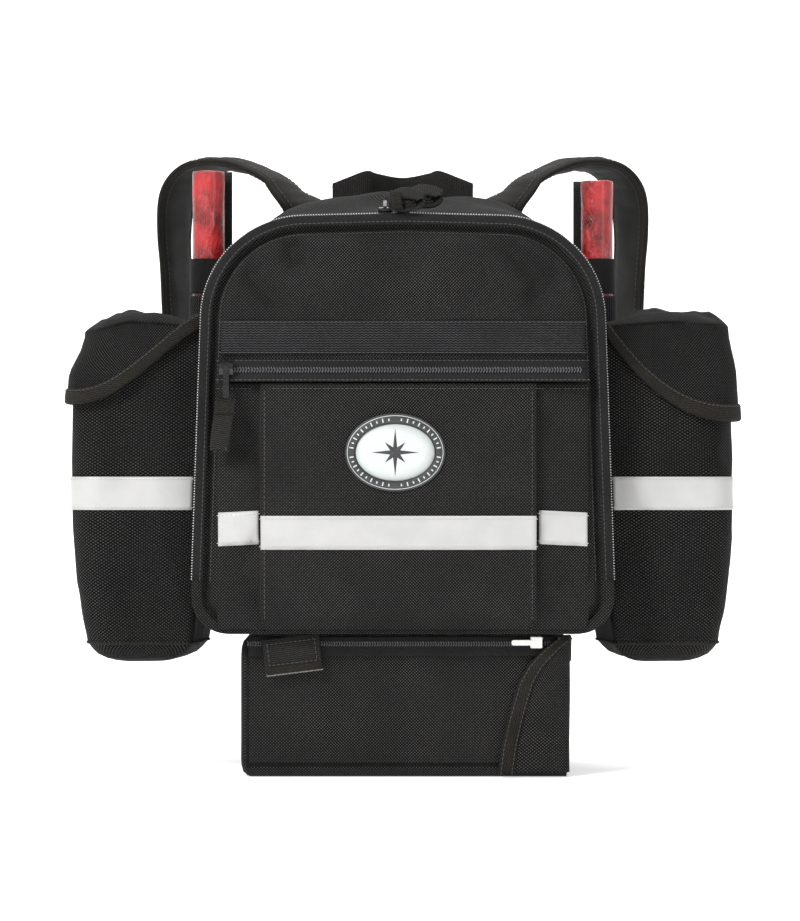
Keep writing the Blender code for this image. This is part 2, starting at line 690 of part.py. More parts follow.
def shoulder_strap(side, name):
    """A padded strap with its ladder lock and adjuster webbing. It swings about the line between its two anchors."""
    body = "strap_" + name
    pivot(body, mirrored(TOP_ANCHOR, side))
    path, across = strap_route(side)
    narrow_end = 6
    widths = [STRAP_WIDTH] * (len(path) - narrow_end)
    widths += [STRAP_WIDTH - 0.022 * (k + 1) / narrow_end for k in range(narrow_end)]
    ribbon("shoulder_strap_" + name, path, across, widths, STRAP_THICK, "pack_cloth", body)

    end, wide = path[-1], across[-1]
    low = mirrored(LOW_ANCHOR, side)
    down = (low - end).normalized()
    wide = (wide - down * wide.dot(down)).normalized()
    out = down.cross(wide).normalized()
    if out.y > 0:
        out = -out
    lock_middle = end + down * 0.0165
    frames = []
    for half_w, half_l in ((0.0170, 0.0115), (0.0135, 0.0065)):
        corners = [(-half_w, -half_l), (half_w, -half_l), (half_w, half_l), (-half_w, half_l)]
        frames.append([lock_middle + wide * u + down * v for u, v in corners])
    half_thick = out * 0.0022
    rings = [
        [p - half_thick for p in frames[0]],
        [p + half_thick for p in frames[0]],
        [p + half_thick for p in frames[1]],
        [p - half_thick for p in frames[1]],
    ]
    hoop("ladder_lock_" + name, rings, "acetal", body)

    bar = lock_middle + down * 0.0090
    radius = 0.0046
    turn = [math.radians(a) for a in (90, 45, 0, -45, -90)]
    around = [bar + out * radius * math.sin(a) - down * radius * math.cos(a) for a in turn]
    tail = [bar - out * 0.0062 + down * 0.016, bar - out * 0.0080 + down * 0.060]
    spread = [Vector((1, 0, 0))] + [wide] * (1 + len(around) + len(tail))
    route = [low, bar + out * radius + down * 0.016, *around, *tail]
    ribbon("strap_webbing_" + name, route, spread, 0.025, 0.0016, "webbing", body)


def sternum_half(side, name, end_name):
    """Half of the chest strap, hanging from a shoulder strap with its half of the buckle at its end."""
    body = "sternum_" + name
    top = Vector((side * 0.1680, 0.1956, 0.3310))
    pivot(body, top, "strap_" + name)
    path = [top - UP * 0.0005, top - UP * 0.072]
    ribbon("sternum_webbing_" + name, path, RIGHT, 0.020, 0.0016, "webbing", body)
    x, y = top.x, top.y
    if end_name == "female":
        sections = []
        for inset in (0.0, 0.0016):
            plan = rectangle(x - 0.0135 + inset, y - 0.0042 + inset, x + 0.0135 - inset, y + 0.0042 - inset)
            sections.append([facing_z(plan, 0.2220), facing_z(plan, 0.2582 - 3 * inset)])
        tub("sternum_buckle_female", sections[0], sections[1], "acetal", body)
    else:
        prongs = [(x + v, 0.2582 - u) for u, v in tongue_outline(0.026, 0.0125)]
        slab("sternum_buckle_male", prongs, y - 0.0022, y + 0.0022, "acetal", body)


def tongue_outline(length, half):
    """A side-release buckle's tongue, with two prongs that point along u. v runs across it."""
    shoulder, prong = length * 0.48, half * 0.30
    upper = [(0, half), (shoulder, half), (shoulder, half * 0.88), (length * 0.85, half * 0.88)]
    upper += [(length, half * 0.70), (length * 0.9, half * 0.88 - prong), (shoulder, half * 0.88 - prong)]
    return upper + [(u, -v) for u, v in reversed(upper)]


def belt_half(side, name):
    """A padded belt wing folded against the lumbar pad, with its webbing."""
    body = "belt_" + name
    pivot(body, (side * BELT_HINGE_X, BELT_Y + BELT_THICK / 2, (BELT_LOW + BELT_HIGH) / 2))
    outline = [(0.118, BELT_LOW, 0.006, 2), (0.118, BELT_HIGH, 0.006, 2)]
    outline += [(0.050, BELT_HIGH - 0.012, 0.012, 3), (0.050, BELT_LOW + 0.012, 0.012, 3)]
    wing = rounded_polygon([(side * u, v, r, n) for u, v, r, n in outline])
    bevel(slab("belt_wing_" + name, wing, BELT_Y, BELT_Y + BELT_THICK, "pack_cloth", body), 0.0025)


def hip_belt():
    """Both wings folded in, with the buckle's halves apart at the middle."""
    belt_half(-1, "left")
    belt_half(1, "right")
    face, mid, half = BELT_Y + BELT_THICK, (BELT_LOW + BELT_HIGH) / 2, 0.019
    for name, start, end in (("left", -0.100, -0.030), ("right", 0.0476, 0.100)):
        low, high = (start, face + GAP, mid - half), (end, face + GAP + 0.002, mid + half)
        block("belt_webbing_" + name, low, high, "webbing", "belt_" + name)
    centre = face - 0.0034
    sleeve = []
    for inset in (0.0, 0.0022):
        plan = rectangle(centre - 0.0064 + inset, mid - 0.024 + inset, centre + 0.0064 - inset, mid + 0.024 - inset)
        sleeve.append([facing_x(plan, 0.001), facing_x(plan, 0.047 - 3 * inset)])
    tub("belt_buckle_female", sleeve[0], sleeve[1], "acetal", "belt_right")
    heel = -0.048
    pivot("belt_tongue", (heel, centre, mid), "belt_left")
    prongs = [(heel + u, mid + v) for u, v in tongue_outline(0.046, 0.0205)]
    slab("belt_buckle_male", prongs, centre - 0.0030, centre + 0.0030, "acetal", "belt_tongue")


# ---------------------------------------------------------------------------------------------- assembly


def main():
    clear_scene()
    main_bag()
    back_of_bag()
    lid()
    front_pocket()
    pocket_tapes()
    pocket_slider()
    main_sliders()
    bottom_zip()
    shelter_pouch()
    haul_handle()
    hip_belt()
    for side, name, buckle in ((-1, "left", "female"), (1, "right", "male")):
        side_pouch(side, name)
        pouch_flap(side, name)
        flare(side, name)
        shoulder_strap(side, name)
        sternum_half(side, name, buckle)


main()
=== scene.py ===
"""Looks of the field backpack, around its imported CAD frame."""

import math

import bpy
import numpy as np
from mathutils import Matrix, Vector, noise


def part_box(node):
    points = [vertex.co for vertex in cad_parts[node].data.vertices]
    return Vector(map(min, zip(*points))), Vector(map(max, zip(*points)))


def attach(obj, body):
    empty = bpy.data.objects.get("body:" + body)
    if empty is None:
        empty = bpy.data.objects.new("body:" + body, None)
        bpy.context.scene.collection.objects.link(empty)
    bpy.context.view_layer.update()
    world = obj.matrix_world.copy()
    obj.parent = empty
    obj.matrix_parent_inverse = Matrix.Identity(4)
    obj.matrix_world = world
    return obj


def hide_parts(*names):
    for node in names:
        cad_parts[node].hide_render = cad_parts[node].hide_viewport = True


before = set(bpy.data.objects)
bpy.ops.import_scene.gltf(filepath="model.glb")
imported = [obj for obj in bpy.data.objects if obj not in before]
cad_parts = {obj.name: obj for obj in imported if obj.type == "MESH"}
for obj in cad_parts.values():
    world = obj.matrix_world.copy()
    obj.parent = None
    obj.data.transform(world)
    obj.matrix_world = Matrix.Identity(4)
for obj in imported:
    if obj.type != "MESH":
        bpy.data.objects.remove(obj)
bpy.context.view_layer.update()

UP = np.array((0.0, 0.0, 1.0))
RIGHT = np.array((1.0, 0.0, 0.0))
BACK = np.array((0.0, 1.0, 0.0))

# The main bag, as its CAD solids have it.
BAG_HALF_BOTTOM = 0.160
BAG_HALF_TOP = 0.1495
BAG_BOTTOM = 0.109
BAG_TOP = 0.4216
BAG_CROWN = 0.004
SHOULDER_RADIUS = 0.078
FOOT_RADIUS = 0.028
REAR_NARROWER = 0.0255
REAR_HIGHER = 0.021
SHELL_FRONT_Y = -0.0786
SHELL_REAR_Y = 0.080
LID_BACK_Y = -0.0830
ZIP_END_Z = 0.150

# ------------------------------------------------------------------------------------------ camera and stage


def camera():
    """Level with the pack's middle, square on to its front, 2.5 m from it."""
    data = bpy.data.cameras.new("camera")
    data.sensor_fit = "VERTICAL"
    data.sensor_height = 24.0
    data.lens = 87.45
    data.clip_end = 50
    obj = bpy.data.objects.new("camera", data)
    obj.location = (-0.0022, -2.61, 0.2395)
    obj.rotation_euler = (math.pi / 2, 0, 0)
    bpy.context.scene.collection.objects.link(obj)
    bpy.context.scene.camera = obj


def area_light(name, at, target, size, power, colour=(1, 1, 1)):
    data = bpy.data.lights.new(name, "AREA")
    data.shape = "RECTANGLE"
    data.size, data.size_y = size
    data.energy = power
    data.color = colour
    obj = bpy.data.objects.new(name, data)
    obj.location = at
    obj.rotation_euler = (Vector(target) - Vector(at)).to_track_quat("-Z", "Y").to_euler()
    bpy.context.scene.collection.objects.link(obj)


def stage():
    world = bpy.data.worlds.new("studio")
    bpy.context.scene.world = world
    world.use_nodes = True
    world.node_tree.nodes["Background"].inputs["Color"].default_value = (1.0, 1.0, 1.0, 1)
    world.node_tree.nodes["Background"].inputs["Strength"].default_value = 0.50
    area_light("key", (-1.5, -1.9, 2.1), (0, 0, 0.27), (0.7, 0.7), 84)
    area_light("fill", (2.0, -2.2, 1.0), (0, 0, 0.25), (1.2, 1.2), 15)
    area_light("top", (0.2, 0.1, 2.2), (0, 0, 0.3), (1.2, 0.7), 30)
    bpy.context.scene.view_settings.view_transform = "Standard"

    profile = [(-6.0, 0.0), (1.6, 0.0), (2.0, 0.04), (2.3, 0.16), (2.5, 0.4), (2.55, 0.8), (2.55, 5.0)]
    points = [(x, y, z - 0.0002) for x in (-7.0, 7.0) for y, z in profile]
    count = len(profile)
    faces = [(i, i + 1, count + i + 1, count + i) for i in range(count - 1)]
    mesh = bpy.data.meshes.new("floor")
    mesh.from_pydata(points, [], faces)
    mesh.shade_smooth()
    material = bpy.data.materials.new("floor")
    material.use_nodes = True
    shader = material.node_tree.nodes["Principled BSDF"]
    shader.inputs["Base Color"].default_value = (0.93, 0.93, 0.93, 1)
    shader.inputs["Roughness"].default_value = 0.9
    shader.inputs["Emission Color"].default_value = (1, 1, 1, 1)
    shader.inputs["Emission Strength"].default_value = 0.40
    mesh.materials.append(material)
    floor = bpy.data.objects.new("floor", mesh)
    bpy.context.scene.collection.objects.link(floor)


# ------------------------------------------------------------------------------------------ materials


class Graph:
    """Short names for building a material's nodes."""

    def __init__(self, name):
        self.material = bpy.data.materials.new(name)
        self.material.use_nodes = True
        self.tree = self.material.node_tree
        self.shader = self.tree.nodes["Principled BSDF"]

    def put(self, socket, value):
        if isinstance(value, bpy.types.NodeSocket):
            self.tree.links.new(value, socket)
        elif isinstance(value, tuple):
            socket.default_value = (*value, 1.0) if len(socket.default_value) == 4 else value
        else:
            socket.default_value = value

    def math(self, operation, a, b=0.0, c=0.0):
        node = self.tree.nodes.new("ShaderNodeMath")
        node.operation = operation
        for socket, value in zip(node.inputs, (a, b, c)):
            self.put(socket, value)
        return node.outputs[0]

    def smooth(self, value, low, high, to_low=0.0, to_high=1.0):
        node = self.tree.nodes.new("ShaderNodeMapRange")
        node.interpolation_type = "SMOOTHSTEP"
        for socket, given in zip(node.inputs, (value, low, high, to_low, to_high)):
            self.put(socket, given)
        return node.outputs[0]

    def mix(self, share, a, b):
        node = self.tree.nodes.new("ShaderNodeMix")
        node.data_type = "RGBA"
        self.put(node.inputs["Factor"], share)
        self.put(node.inputs["A"], a)
        self.put(node.inputs["B"], b)
        return node.outputs["Result"]

    def noise(self, vector, scale, detail=2.0, roughness=0.5):
        node = self.tree.nodes.new("ShaderNodeTexNoise")
        self.put(node.inputs["Vector"], vector)
        node.inputs["Scale"].default_value = scale
        node.inputs["Detail"].default_value = detail
        node.inputs["Roughness"].default_value = roughness
        return node.outputs["Fac"]

    def coordinates(self, kind):
        node = self.tree.nodes.get("coordinates") or self.tree.nodes.new("ShaderNodeTexCoord")
        node.name = "coordinates"
        return node.outputs[kind]

    def split(self, vector):
        node = self.tree.nodes.new("ShaderNodeSeparateXYZ")
        self.put(node.inputs[0], vector)
        return node.outputs

    def scaled(self, vector, factors):
        node = self.tree.nodes.new("ShaderNodeVectorMath")
        node.operation = "MULTIPLY"
        self.put(node.inputs[0], vector)
        node.inputs[1].default_value = factors
        return node.outputs[0]

    def bump(self, height, distance, strength=1.0, normal=None):
        node = self.tree.nodes.new("ShaderNodeBump")
        node.inputs["Distance"].default_value = distance
        node.inputs["Strength"].default_value = strength
        self.put(node.inputs["Height"], height)
        if normal is not None:
            self.put(node.inputs["Normal"], normal)
        return node.outputs[0]

    def finish(self, colour, roughness, normal=None, **fixed):
        self.put(self.shader.inputs["Base Color"], colour)
        self.put(self.shader.inputs["Roughness"], roughness)
        if normal is not None:
            self.put(self.shader.inputs["Normal"], normal)
        for name, value in fixed.items():
            self.put(self.shader.inputs[name.replace("_", " ")], value)
        return self.material

    def plane(self, boxed):
        """Two coordinates in metres along the cloth: the piece's UVs, or for a CAD solid its own axes."""
        if not boxed:
            u, v, _ = self.split(self.coordinates("UV"))
            return u, v
        x, y, z = self.split(self.coordinates("Object"))
        return self.math("ADD", x, self.math("MULTIPLY", y, 0.93)), self.math("ADD", z,
                self.math("MULTIPLY", y, 0.31))

    def wave(self, value, pitch):
        return self.math("SINE", self.math("MULTIPLY", value, math.pi / pitch))


def woven(name, dark, light, thread, roughness=0.75, depth=0.00025, boxed=False, stretch=1.0, spec=0.07):
    """Plain-woven cloth: raised crossings of this thread width with painted glints, uneven yarn, and faint
    mottling that is partly random tone and partly painted shade for soft wrinkles.
    """
    g = Graph(name)
    u, v = g.plane(boxed)
    crossing = g.math("MULTIPLY", g.wave(u, thread * stretch), g.wave(v, thread))
    where = g.coordinates("Object")
    yarn = g.noise(g.scaled(where, (1.0, 1.0, 2.2)), 620, 2.0, 0.7)
    mottle = g.noise(where, 19, 3.0, 0.6)
    # painted highlight: the raised thread crossings are painted lighter, standing in for the glints of light
    # on them
    painted_glint = g.math("MULTIPLY", g.smooth(crossing, 0.05, 0.75), g.smooth(yarn, 0.30, 0.66, 0.50, 1.0))
    # the mottle darkens the colour in broad patches: partly random tone, partly painted shade standing in for
    # soft wrinkles
    shade = g.math("MULTIPLY", painted_glint, g.smooth(mottle, 0.3, 0.7, 0.62, 1.0))
    colour = g.mix(shade, dark, light)
    height = g.math("ADD", g.math("MULTIPLY", crossing, 0.6), g.math("MULTIPLY", yarn, 0.7))
    rough = g.smooth(mottle, 0.3, 0.7, roughness - 0.07, min(1.0, roughness + 0.06))
    return g.finish(colour, rough, g.bump(height, depth, 0.9), Specular_IOR_Level=spec)


def ribbed(name, dark, light, pitch, roughness=0.7, depth=0.0003, along="v", boxed=False):
    """Webbing or tape: fine ribs across it, with a zigzag of yarn in them."""
    g = Graph(name)
    u, v = g.plane(boxed)
    if along == "u":
        u, v = v, u
    zigzag = g.math("MULTIPLY", g.math("PINGPONG", u, 0.0016), 0.55)
    rib = g.wave(g.math("ADD", v, zigzag), pitch / 2)
    where = g.coordinates("Object")
    yarn = g.noise(where, 900, 2.0, 0.7)
    mottle = g.noise(where, 34, 3.0, 0.6)
    share = g.math("MULTIPLY", g.smooth(rib, -0.6, 0.9), g.smooth(yarn, 0.3, 0.7, 0.35, 1.0))
    share = g.math("MULTIPLY", share, g.smooth(mottle, 0.3, 0.7, 0.7, 1.0))
    height = g.math("ADD", g.math("MULTIPLY", rib, 0.5), g.math("MULTIPLY", yarn, 0.7))
    return g.finish(
        g.mix(share, dark, light), roughness, g.bump(height, depth, 0.9), Specular_IOR_Level=0.14
    )


def spacer_mesh(name, dark, light, boxed=False):
    """Spacer mesh: a hexagonal field of small holes, painted dark as painted shade inside them."""
    g = Graph(name)
    u, v = g.plane(boxed)
    pitch = 0.0021
    first = g.math("MULTIPLY", g.wave(u, pitch), g.wave(v, pitch * 0.8))
    second = g.math("ADD", u, g.math("MULTIPLY", v, 0.6))
    ripple = g.wave(second, pitch)
    where = g.coordinates("Object")
    yarn = g.noise(where, 800, 2.0, 0.6)
    solid = g.smooth(g.math("ADD", first, g.math("MULTIPLY", ripple, 0.25)), -0.45, 0.15)
    # painted shade: the holes get the dark colour, for the shade inside them
    colour = g.mix(g.math("MULTIPLY", solid, g.smooth(yarn, 0.3, 0.7, 0.5, 1.0)), dark, light)
    return g.finish(colour, 0.85, g.bump(solid, 0.0006, 0.9), Specular_IOR_Level=0.12)


def reflective(name):
    """Retroreflective tape: a pale grey sheet with a fine diamond emboss, a few scuffs and a soft gloss."""
    g = Graph(name)
    u, v = g.plane(False)
    first = g.wave(g.math("ADD", u, v), 0.0010)
    second = g.wave(g.math("SUBTRACT", u, v), 0.0010)
    where = g.coordinates("Object")
    mottle = g.noise(where, 40, 4.0, 0.6)
    grain = g.noise(where, 1100, 2.0, 0.6)
    cell = g.math("MULTIPLY", first, second)
    shade = g.math("ADD", g.smooth(mottle, 0.3, 0.7, 0.15, 0.55), g.math("MULTIPLY", grain, 0.4))
    colour = g.mix(shade, (0.358, 0.356, 0.351), (0.452, 0.449, 0.443))
    height = g.math("ADD", g.math("MULTIPLY", cell, 0.3), grain)
    rough = g.smooth(mottle, 0.35, 0.7, 0.32, 0.46)
    return g.finish(colour, rough, g.bump(height, 0.00008, 0.6), Specular_IOR_Level=0.5)


def moulded(name, colour, roughness, metallic=0.0, grain=0.00003, light=None, wear=0.25):
    """Moulded plastic, enamel or plate: fine grain, and faint scuffs rubbed a little lighter."""
    g = Graph(name)
    where = g.coordinates("Object")
    fine = g.noise(where, 2500, 2.0, 0.5)
    scuff = g.noise(g.scaled(where, (1.0, 1.0, 3.0)), 240, 4.0, 0.7)
    lighter = light or tuple(min(1.0, c * 1.9 + 0.012) for c in colour)
    shade = g.smooth(scuff, 0.52, 0.75, 0.0, wear)
    rough = g.smooth(scuff, 0.4, 0.7, roughness - 0.06, roughness + 0.12)
    return g.finish(g.mix(shade, colour, lighter), rough, g.bump(fine, grain, 0.8), Metallic=metallic)


def flare_paper(name):
    """Waxed red paper wound into a tube: crinkled, mottled and glossy, with painted highlights along its
    creases.
    """
    g = Graph(name)
    where = g.coordinates("Object")
    crease = g.noise(g.scaled(where, (1.0, 1.0, 0.45)), 130, 5.0, 0.62)
    blotch = g.noise(where, 45, 3.0, 0.6)
    fine = g.noise(where, 1500, 3.0, 0.7)
    colour = g.mix(g.smooth(blotch, 0.3, 0.72), (0.115, 0.0022, 0.0036), (0.47, 0.015, 0.019))
    # painted highlight: pale streaks along the creases, where the waxed paper would catch the light
    colour = g.mix(g.smooth(crease, 0.56, 0.74, 0.0, 0.34), colour, (0.74, 0.16, 0.15))
    height = g.math("ADD", crease, g.math("MULTIPLY", fine, 0.08))
    rough = g.smooth(blotch, 0.3, 0.7, 0.24, 0.42)
    return g.finish(colour, rough, g.bump(height, 0.0036, 0.9), Specular_IOR_Level=0.5, Coat_Weight=0.30)


MAT = {}


def materials():
    MAT["nylon"] = woven("ballistic_nylon", (0.0040, 0.0039, 0.0038), (0.082, 0.080, 0.078), 0.00120, 0.74,
                         0.00042)
    # painted shade: a darker copy of the ballistic nylon for the side pouches and the bag's body, painted as
    # if they were in shade
    MAT["nylon_shaded"] = woven("pouch_nylon_shaded", (0.0014, 0.0014, 0.0014), (0.062, 0.060, 0.058), 0.00120, 0.72,
                              0.00036)
    MAT["nylon_fine"] = woven("pack_cloth", (0.009, 0.0085, 0.008), (0.062, 0.059, 0.056), 0.00055, 0.66,
                              0.00014)
    MAT["webbing"] = ribbed("webbing", (0.0022, 0.0021, 0.0020), (0.040, 0.038, 0.036), 0.0015)
    MAT["binding"] = ribbed("binding", (0.0030, 0.0026, 0.0020), (0.044, 0.039, 0.031), 0.0013, 0.8)
    MAT["loop_tape"] = ribbed("loop_tape", (0.0030, 0.0030, 0.0031), (0.052, 0.052, 0.055), 0.0019, 0.78,
                              0.0004, "u")
    MAT["zip_tape"] = ribbed("zip_tape", (0.0035, 0.0035, 0.0035), (0.026, 0.025, 0.025), 0.0010, 0.72,
                             0.00012, "u")
    MAT["elastic"] = ribbed("elastic", (0.002, 0.002, 0.002), (0.018, 0.018, 0.018), 0.0012, 0.7)
    MAT["mesh"] = spacer_mesh("spacer_mesh", (0.002, 0.0019, 0.0018), (0.042, 0.040, 0.038))
    MAT["tape"] = reflective("reflective_tape")
    MAT["thread"] = moulded("thread", (0.045, 0.043, 0.040), 0.7, grain=0.0)
    MAT["thread_pale"] = moulded("thread_pale", (0.42, 0.40, 0.37), 0.7, grain=0.0)
    MAT["coil"] = moulded("zip_coil", (0.075, 0.073, 0.083), 0.26, wear=0.5)
    MAT["coil_edge"] = moulded("zip_coil_edge", (0.55, 0.55, 0.54), 0.30, wear=0.5)
    MAT["enamel"] = moulded("black_enamel", (0.006, 0.006, 0.007), 0.28, grain=0.0, wear=0.3)
    MAT["nickel"] = moulded("bright_nickel", (0.70, 0.69, 0.66), 0.24, metallic=1.0, grain=0.00001)
    MAT["acetal"] = moulded("acetal", (0.012, 0.012, 0.013), 0.36)
    MAT["sheet"] = moulded("frame_sheet", (0.030, 0.030, 0.032), 0.45)
    MAT["badge_pale"] = moulded("badge_pale", (0.50, 0.53, 0.52), 0.50, light=(0.60, 0.62, 0.61), wear=0.3)
    MAT["badge_dark"] = moulded("badge_dark", (0.022, 0.023, 0.024), 0.50)
    MAT["badge_ring"] = moulded("badge_ring", (0.026, 0.027, 0.028), 0.50)
    MAT["paper"] = flare_paper("flare_paper")


# ------------------------------------------------------------------------------------------ mesh tools


def unit(vectors):
    return vectors / np.maximum(np.linalg.norm(vectors, axis=-1, keepdims=True), 1e-12)


def wobble(points, scale, seed=0.0):
    """Smooth noise from -1 to 1 at each point, on features about 1/scale metres across."""
    flat = np.asarray(points, float).reshape(-1, 3) * scale + (seed * 7.13, seed * 3.7, seed * 5.1)
    found = np.array([noise.noise(Vector(p)) for p in flat])
    return found.reshape(np.asarray(points).shape[:-1])


def piece(name, points, faces, material, body, uv=None, sharp=None, slot=None, stands_for=()):
    """A piece from points in the pack's frame. uv is one pair for each point, in metres along the cloth."""
    mesh = bpy.data.meshes.new(name)
    mesh.from_pydata(np.asarray(points, float).reshape(-1, 3).tolist(), [], faces)
    if uv is not None:
        layer = mesh.uv_layers.new(name="cloth")
        index = np.empty(len(mesh.loops), dtype=np.int32)
        mesh.loops.foreach_get("vertex_index", index)
        layer.data.foreach_set("uv", np.asarray(uv, np.float32).reshape(-1, 2)[index].ravel())
    mesh.materials.append(MAT[material])
    mesh.shade_smooth()
    if sharp:
        mesh.set_sharp_from_angle(angle=math.radians(sharp))
    obj = bpy.data.objects.new(name, mesh)
    bpy.context.scene.collection.objects.link(obj)
    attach(obj, body)
    if stands_for:
        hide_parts(*stands_for)
    return obj


def strip(a, b, count, closed):
    """Quads between two rows of points that start at a and b."""
    return [(a + k, a + (k + 1) % count, b + (k + 1) % count,
             b + k) for k in range(count if closed else count - 1)]


def normals_of(grid, closed=False):
    """Unit normals of a grid of points, from the cross product of its two directions."""
    if closed:
        padded = np.concatenate([grid[:, -1:], grid, grid[:, :1]], axis=1)
        across = (padded[:, 2:] - padded[:, :-2]) / 2
    else:
        across = np.gradient(grid, axis=1)
    return unit(np.cross(across, np.gradient(grid, axis=0)))


def grid_uv(grid):
    """UVs of a grid in metres: length along its rows and down its columns, measured through its middle."""
    rows, columns = grid.shape[:2]
    across = np.linalg.norm(np.diff(grid[rows // 2], axis=0), axis=1)
    down = np.linalg.norm(np.diff(grid[:, columns // 2], axis=0), axis=1)
    u = np.concatenate([[0], np.cumsum(across)])
    v = np.concatenate([[0], np.cumsum(down)])
    return np.stack(np.meshgrid(u, v), axis=-1)


def shell(name, grid, thick, material, body, uv=None, flip=False, **more):
    """A sheet of cloth with thickness, closed at its edges. Its face is grid, with its back behind that."""
    rows, columns = grid.shape[:2]
    out = normals_of(grid) * (-1 if flip else 1)
    uv = grid_uv(grid) if uv is None else uv
    points = np.concatenate([grid.reshape(-1, 3), (grid - out * thick).reshape(-1, 3)])
    half = rows * columns
    faces = []
    for i in range(rows - 1):
        faces += strip(i * columns, (i + 1) * columns, columns, False)
    faces += [tuple(half + k for k in reversed(face)) for face in faces]
    rim = list(range(columns)) + [i * columns + columns - 1 for i in range(1, rows)]
    rim += [(rows - 1) * columns + j for j in range(columns - 2, -1,
                                                    -1)] + [i * columns for i in range(rows - 2, 0, -1)]
    faces += [(rim[k], half + rim[k], half + rim[(k + 1) % len(rim)],
               rim[(k + 1) % len(rim)]) for k in range(len(rim))]
    if flip:
        faces = [tuple(reversed(face)) for face in faces]
    return piece(name, points, faces, material, body, np.concatenate([uv.reshape(-1, 2)] * 2), **more)


def rings(name, grid, material, body, uv=None, ends=(True, True), joined=False, flip=False, **more):
    """A closed skin through rings of points. ends says which ends are capped, and joined makes it a hoop."""
    rows, columns = grid.shape[:2]
    faces = []
    for i in range(rows if joined else rows - 1):
        faces += strip(i * columns, (i + 1) % rows * columns, columns, True)
    if not joined:
        if ends[0]:
            faces.append(tuple(reversed(range(columns))))
        if ends[1]:
            faces.append(tuple((rows - 1) * columns + j for j in range(columns)))
    if flip:
        faces = [tuple(reversed(face)) for face in faces]
    if uv is None:
        closed = np.concatenate([grid, grid[:, :1]], axis=1)
        uv = grid_uv(closed)[:, :-1]
    return piece(name, grid, faces, material, body, uv, **more)


def resample(points, count, closed=False):
    """The same line with this many points, evenly spaced."""
    points = np.asarray(points, float)
    if closed:
        points = np.concatenate([points, points[:1]])
    length = np.concatenate([[0], np.cumsum(np.linalg.norm(np.diff(points, axis=0), axis=1))])
    at = np.linspace(0, length[-1], count + 1)[:-1] if closed else np.linspace(0, length[-1], count)
    return np.stack([np.interp(at, length, points[:, k]) for k in range(points.shape[1])], axis=1)


def curve_through(points, steps=8):
    points = np.asarray(points, float)
    ends = np.concatenate([[2 * points[0] - points[1]], points, [2 * points[-1] - points[-2]]])
    found = []
    for a, b, c, d in zip(ends, ends[1:], ends[2:], ends[3:]):
        for k in range(steps):
            t = k / steps
            found.append(
                0.5 * (2 * b + (c - a) * t + (2 * a - 5 * b + 4 * c - d) * t**2
                       + (3 * b - a - 3 * c + d) * t**3)
            )
    found.append(points[-1])
    return np.array(found)


def frames(path, across):
    """Unit side and outward directions at each point of a path. across is its width's rough direction."""
    across = np.broadcast_to(np.asarray(across, float), path.shape)
    tangent = unit(np.gradient(path, axis=0))
    side = unit(across - tangent * np.sum(across * tangent, axis=1, keepdims=True))
    return side, unit(np.cross(tangent, side)), tangent


def sweep(name, path, across, section, material, body, scale=None, **more):
    """A solid whose section, in side and outward metres, follows a path. scale widens it at each point."""
    side, out, _ = frames(path, across)
    section = np.asarray(section, float)
    scale = np.ones(len(path)) if scale is None else np.asarray(scale)
    grid = path[:, None] + side[:, None] * section[None, :, :1] * scale[:, None, None]
    grid = grid + out[:, None] * section[None, :, 1:]
    length = np.concatenate([[0], np.cumsum(np.linalg.norm(np.diff(path, axis=0), axis=1))])
    uv = np.zeros((*grid.shape[:2], 2))
    uv[..., 0] = section[None, :, 0]
    uv[..., 1] = length[:, None]
    return rings(name, grid, material, body, uv, flip=True, **more)


def flat_section(width, thick, columns=5):
    """Section of webbing: flat, with its two edges rounded."""
    half, r = width / 2, thick / 2
    upper = [(half - r - (width - 2 * r) * k / columns, r) for k in range(columns + 1)]
    left = [(-half + r * (1 - math.sin(a)), r * math.cos(a)) for a in (math.pi / 4, math.pi / 2,
            3 * math.pi / 4)]
    lower = [(-u, -v) for u, v in upper]
    right = [(-u, -v) for u, v in left]
    return upper + left + lower + right


def round_section(radius, sides=10):
    return [
        (radius * math.cos(2 * math.pi * k / sides),
         radius * math.sin(2 * math.pi * k / sides)) for k in range(sides)
    ]


def beads(name, path, outward, pitch, size, material, body, lift=0.0, slant=0.0, **more):
    """Small rounded blocks along a path, such as stitches or zip teeth. size is (along, across, high)."""
    length = np.linalg.norm(np.diff(path, axis=0), axis=1).sum()
    count = max(2, int(length / pitch))
    centre = resample(path, count)
    outward = np.broadcast_to(np.asarray(outward, float), path.shape)
    out = unit(resample(np.concatenate([path, outward], axis=1), count)[:, 3:])
    along = unit(np.gradient(centre, axis=0))
    across = unit(np.cross(out, along))
    if slant:
        along, across = unit(along + across * slant), unit(across - along * slant)
    shape = []
    for k, share in ((-1.0, 0.45), (-0.6, 1.0), (0.6, 1.0), (1.0, 0.45)):
        for a, c in ((-1, -1), (1, -1), (1, 1), (-1, 1)):
            shape.append((k * size[0] / 2, a * share * size[1] / 2, c * share * size[2] / 2))
    shape = np.array(shape)
    base = centre + out * lift
    points = base[:, None] + along[:, None] * shape[None, :, :1] + across[:, None] * shape[None, :, 1:2]
    points = points + out[:, None] * shape[None, :, 2:]
    one = [(3, 2, 1, 0), (12, 13, 14, 15)]
    for i in range(3):
        one += strip(i * 4, (i + 1) * 4, 4, True)
    faces = [tuple(16 * n + k for k in face) for n in range(count) for face in one]
    return piece(name, points, faces, material, body, **more)


def stitched(name, path, outward, body, pale=False, pitch=0.0034, **more):
    thread = "thread_pale" if pale else "thread"
    slot = "reflective_tape" if pale else "webbing"
    return beads(name, path, outward, pitch, (pitch * 0.74, 0.00055, 0.00045), thread, body, slot=slot,
                 **more)


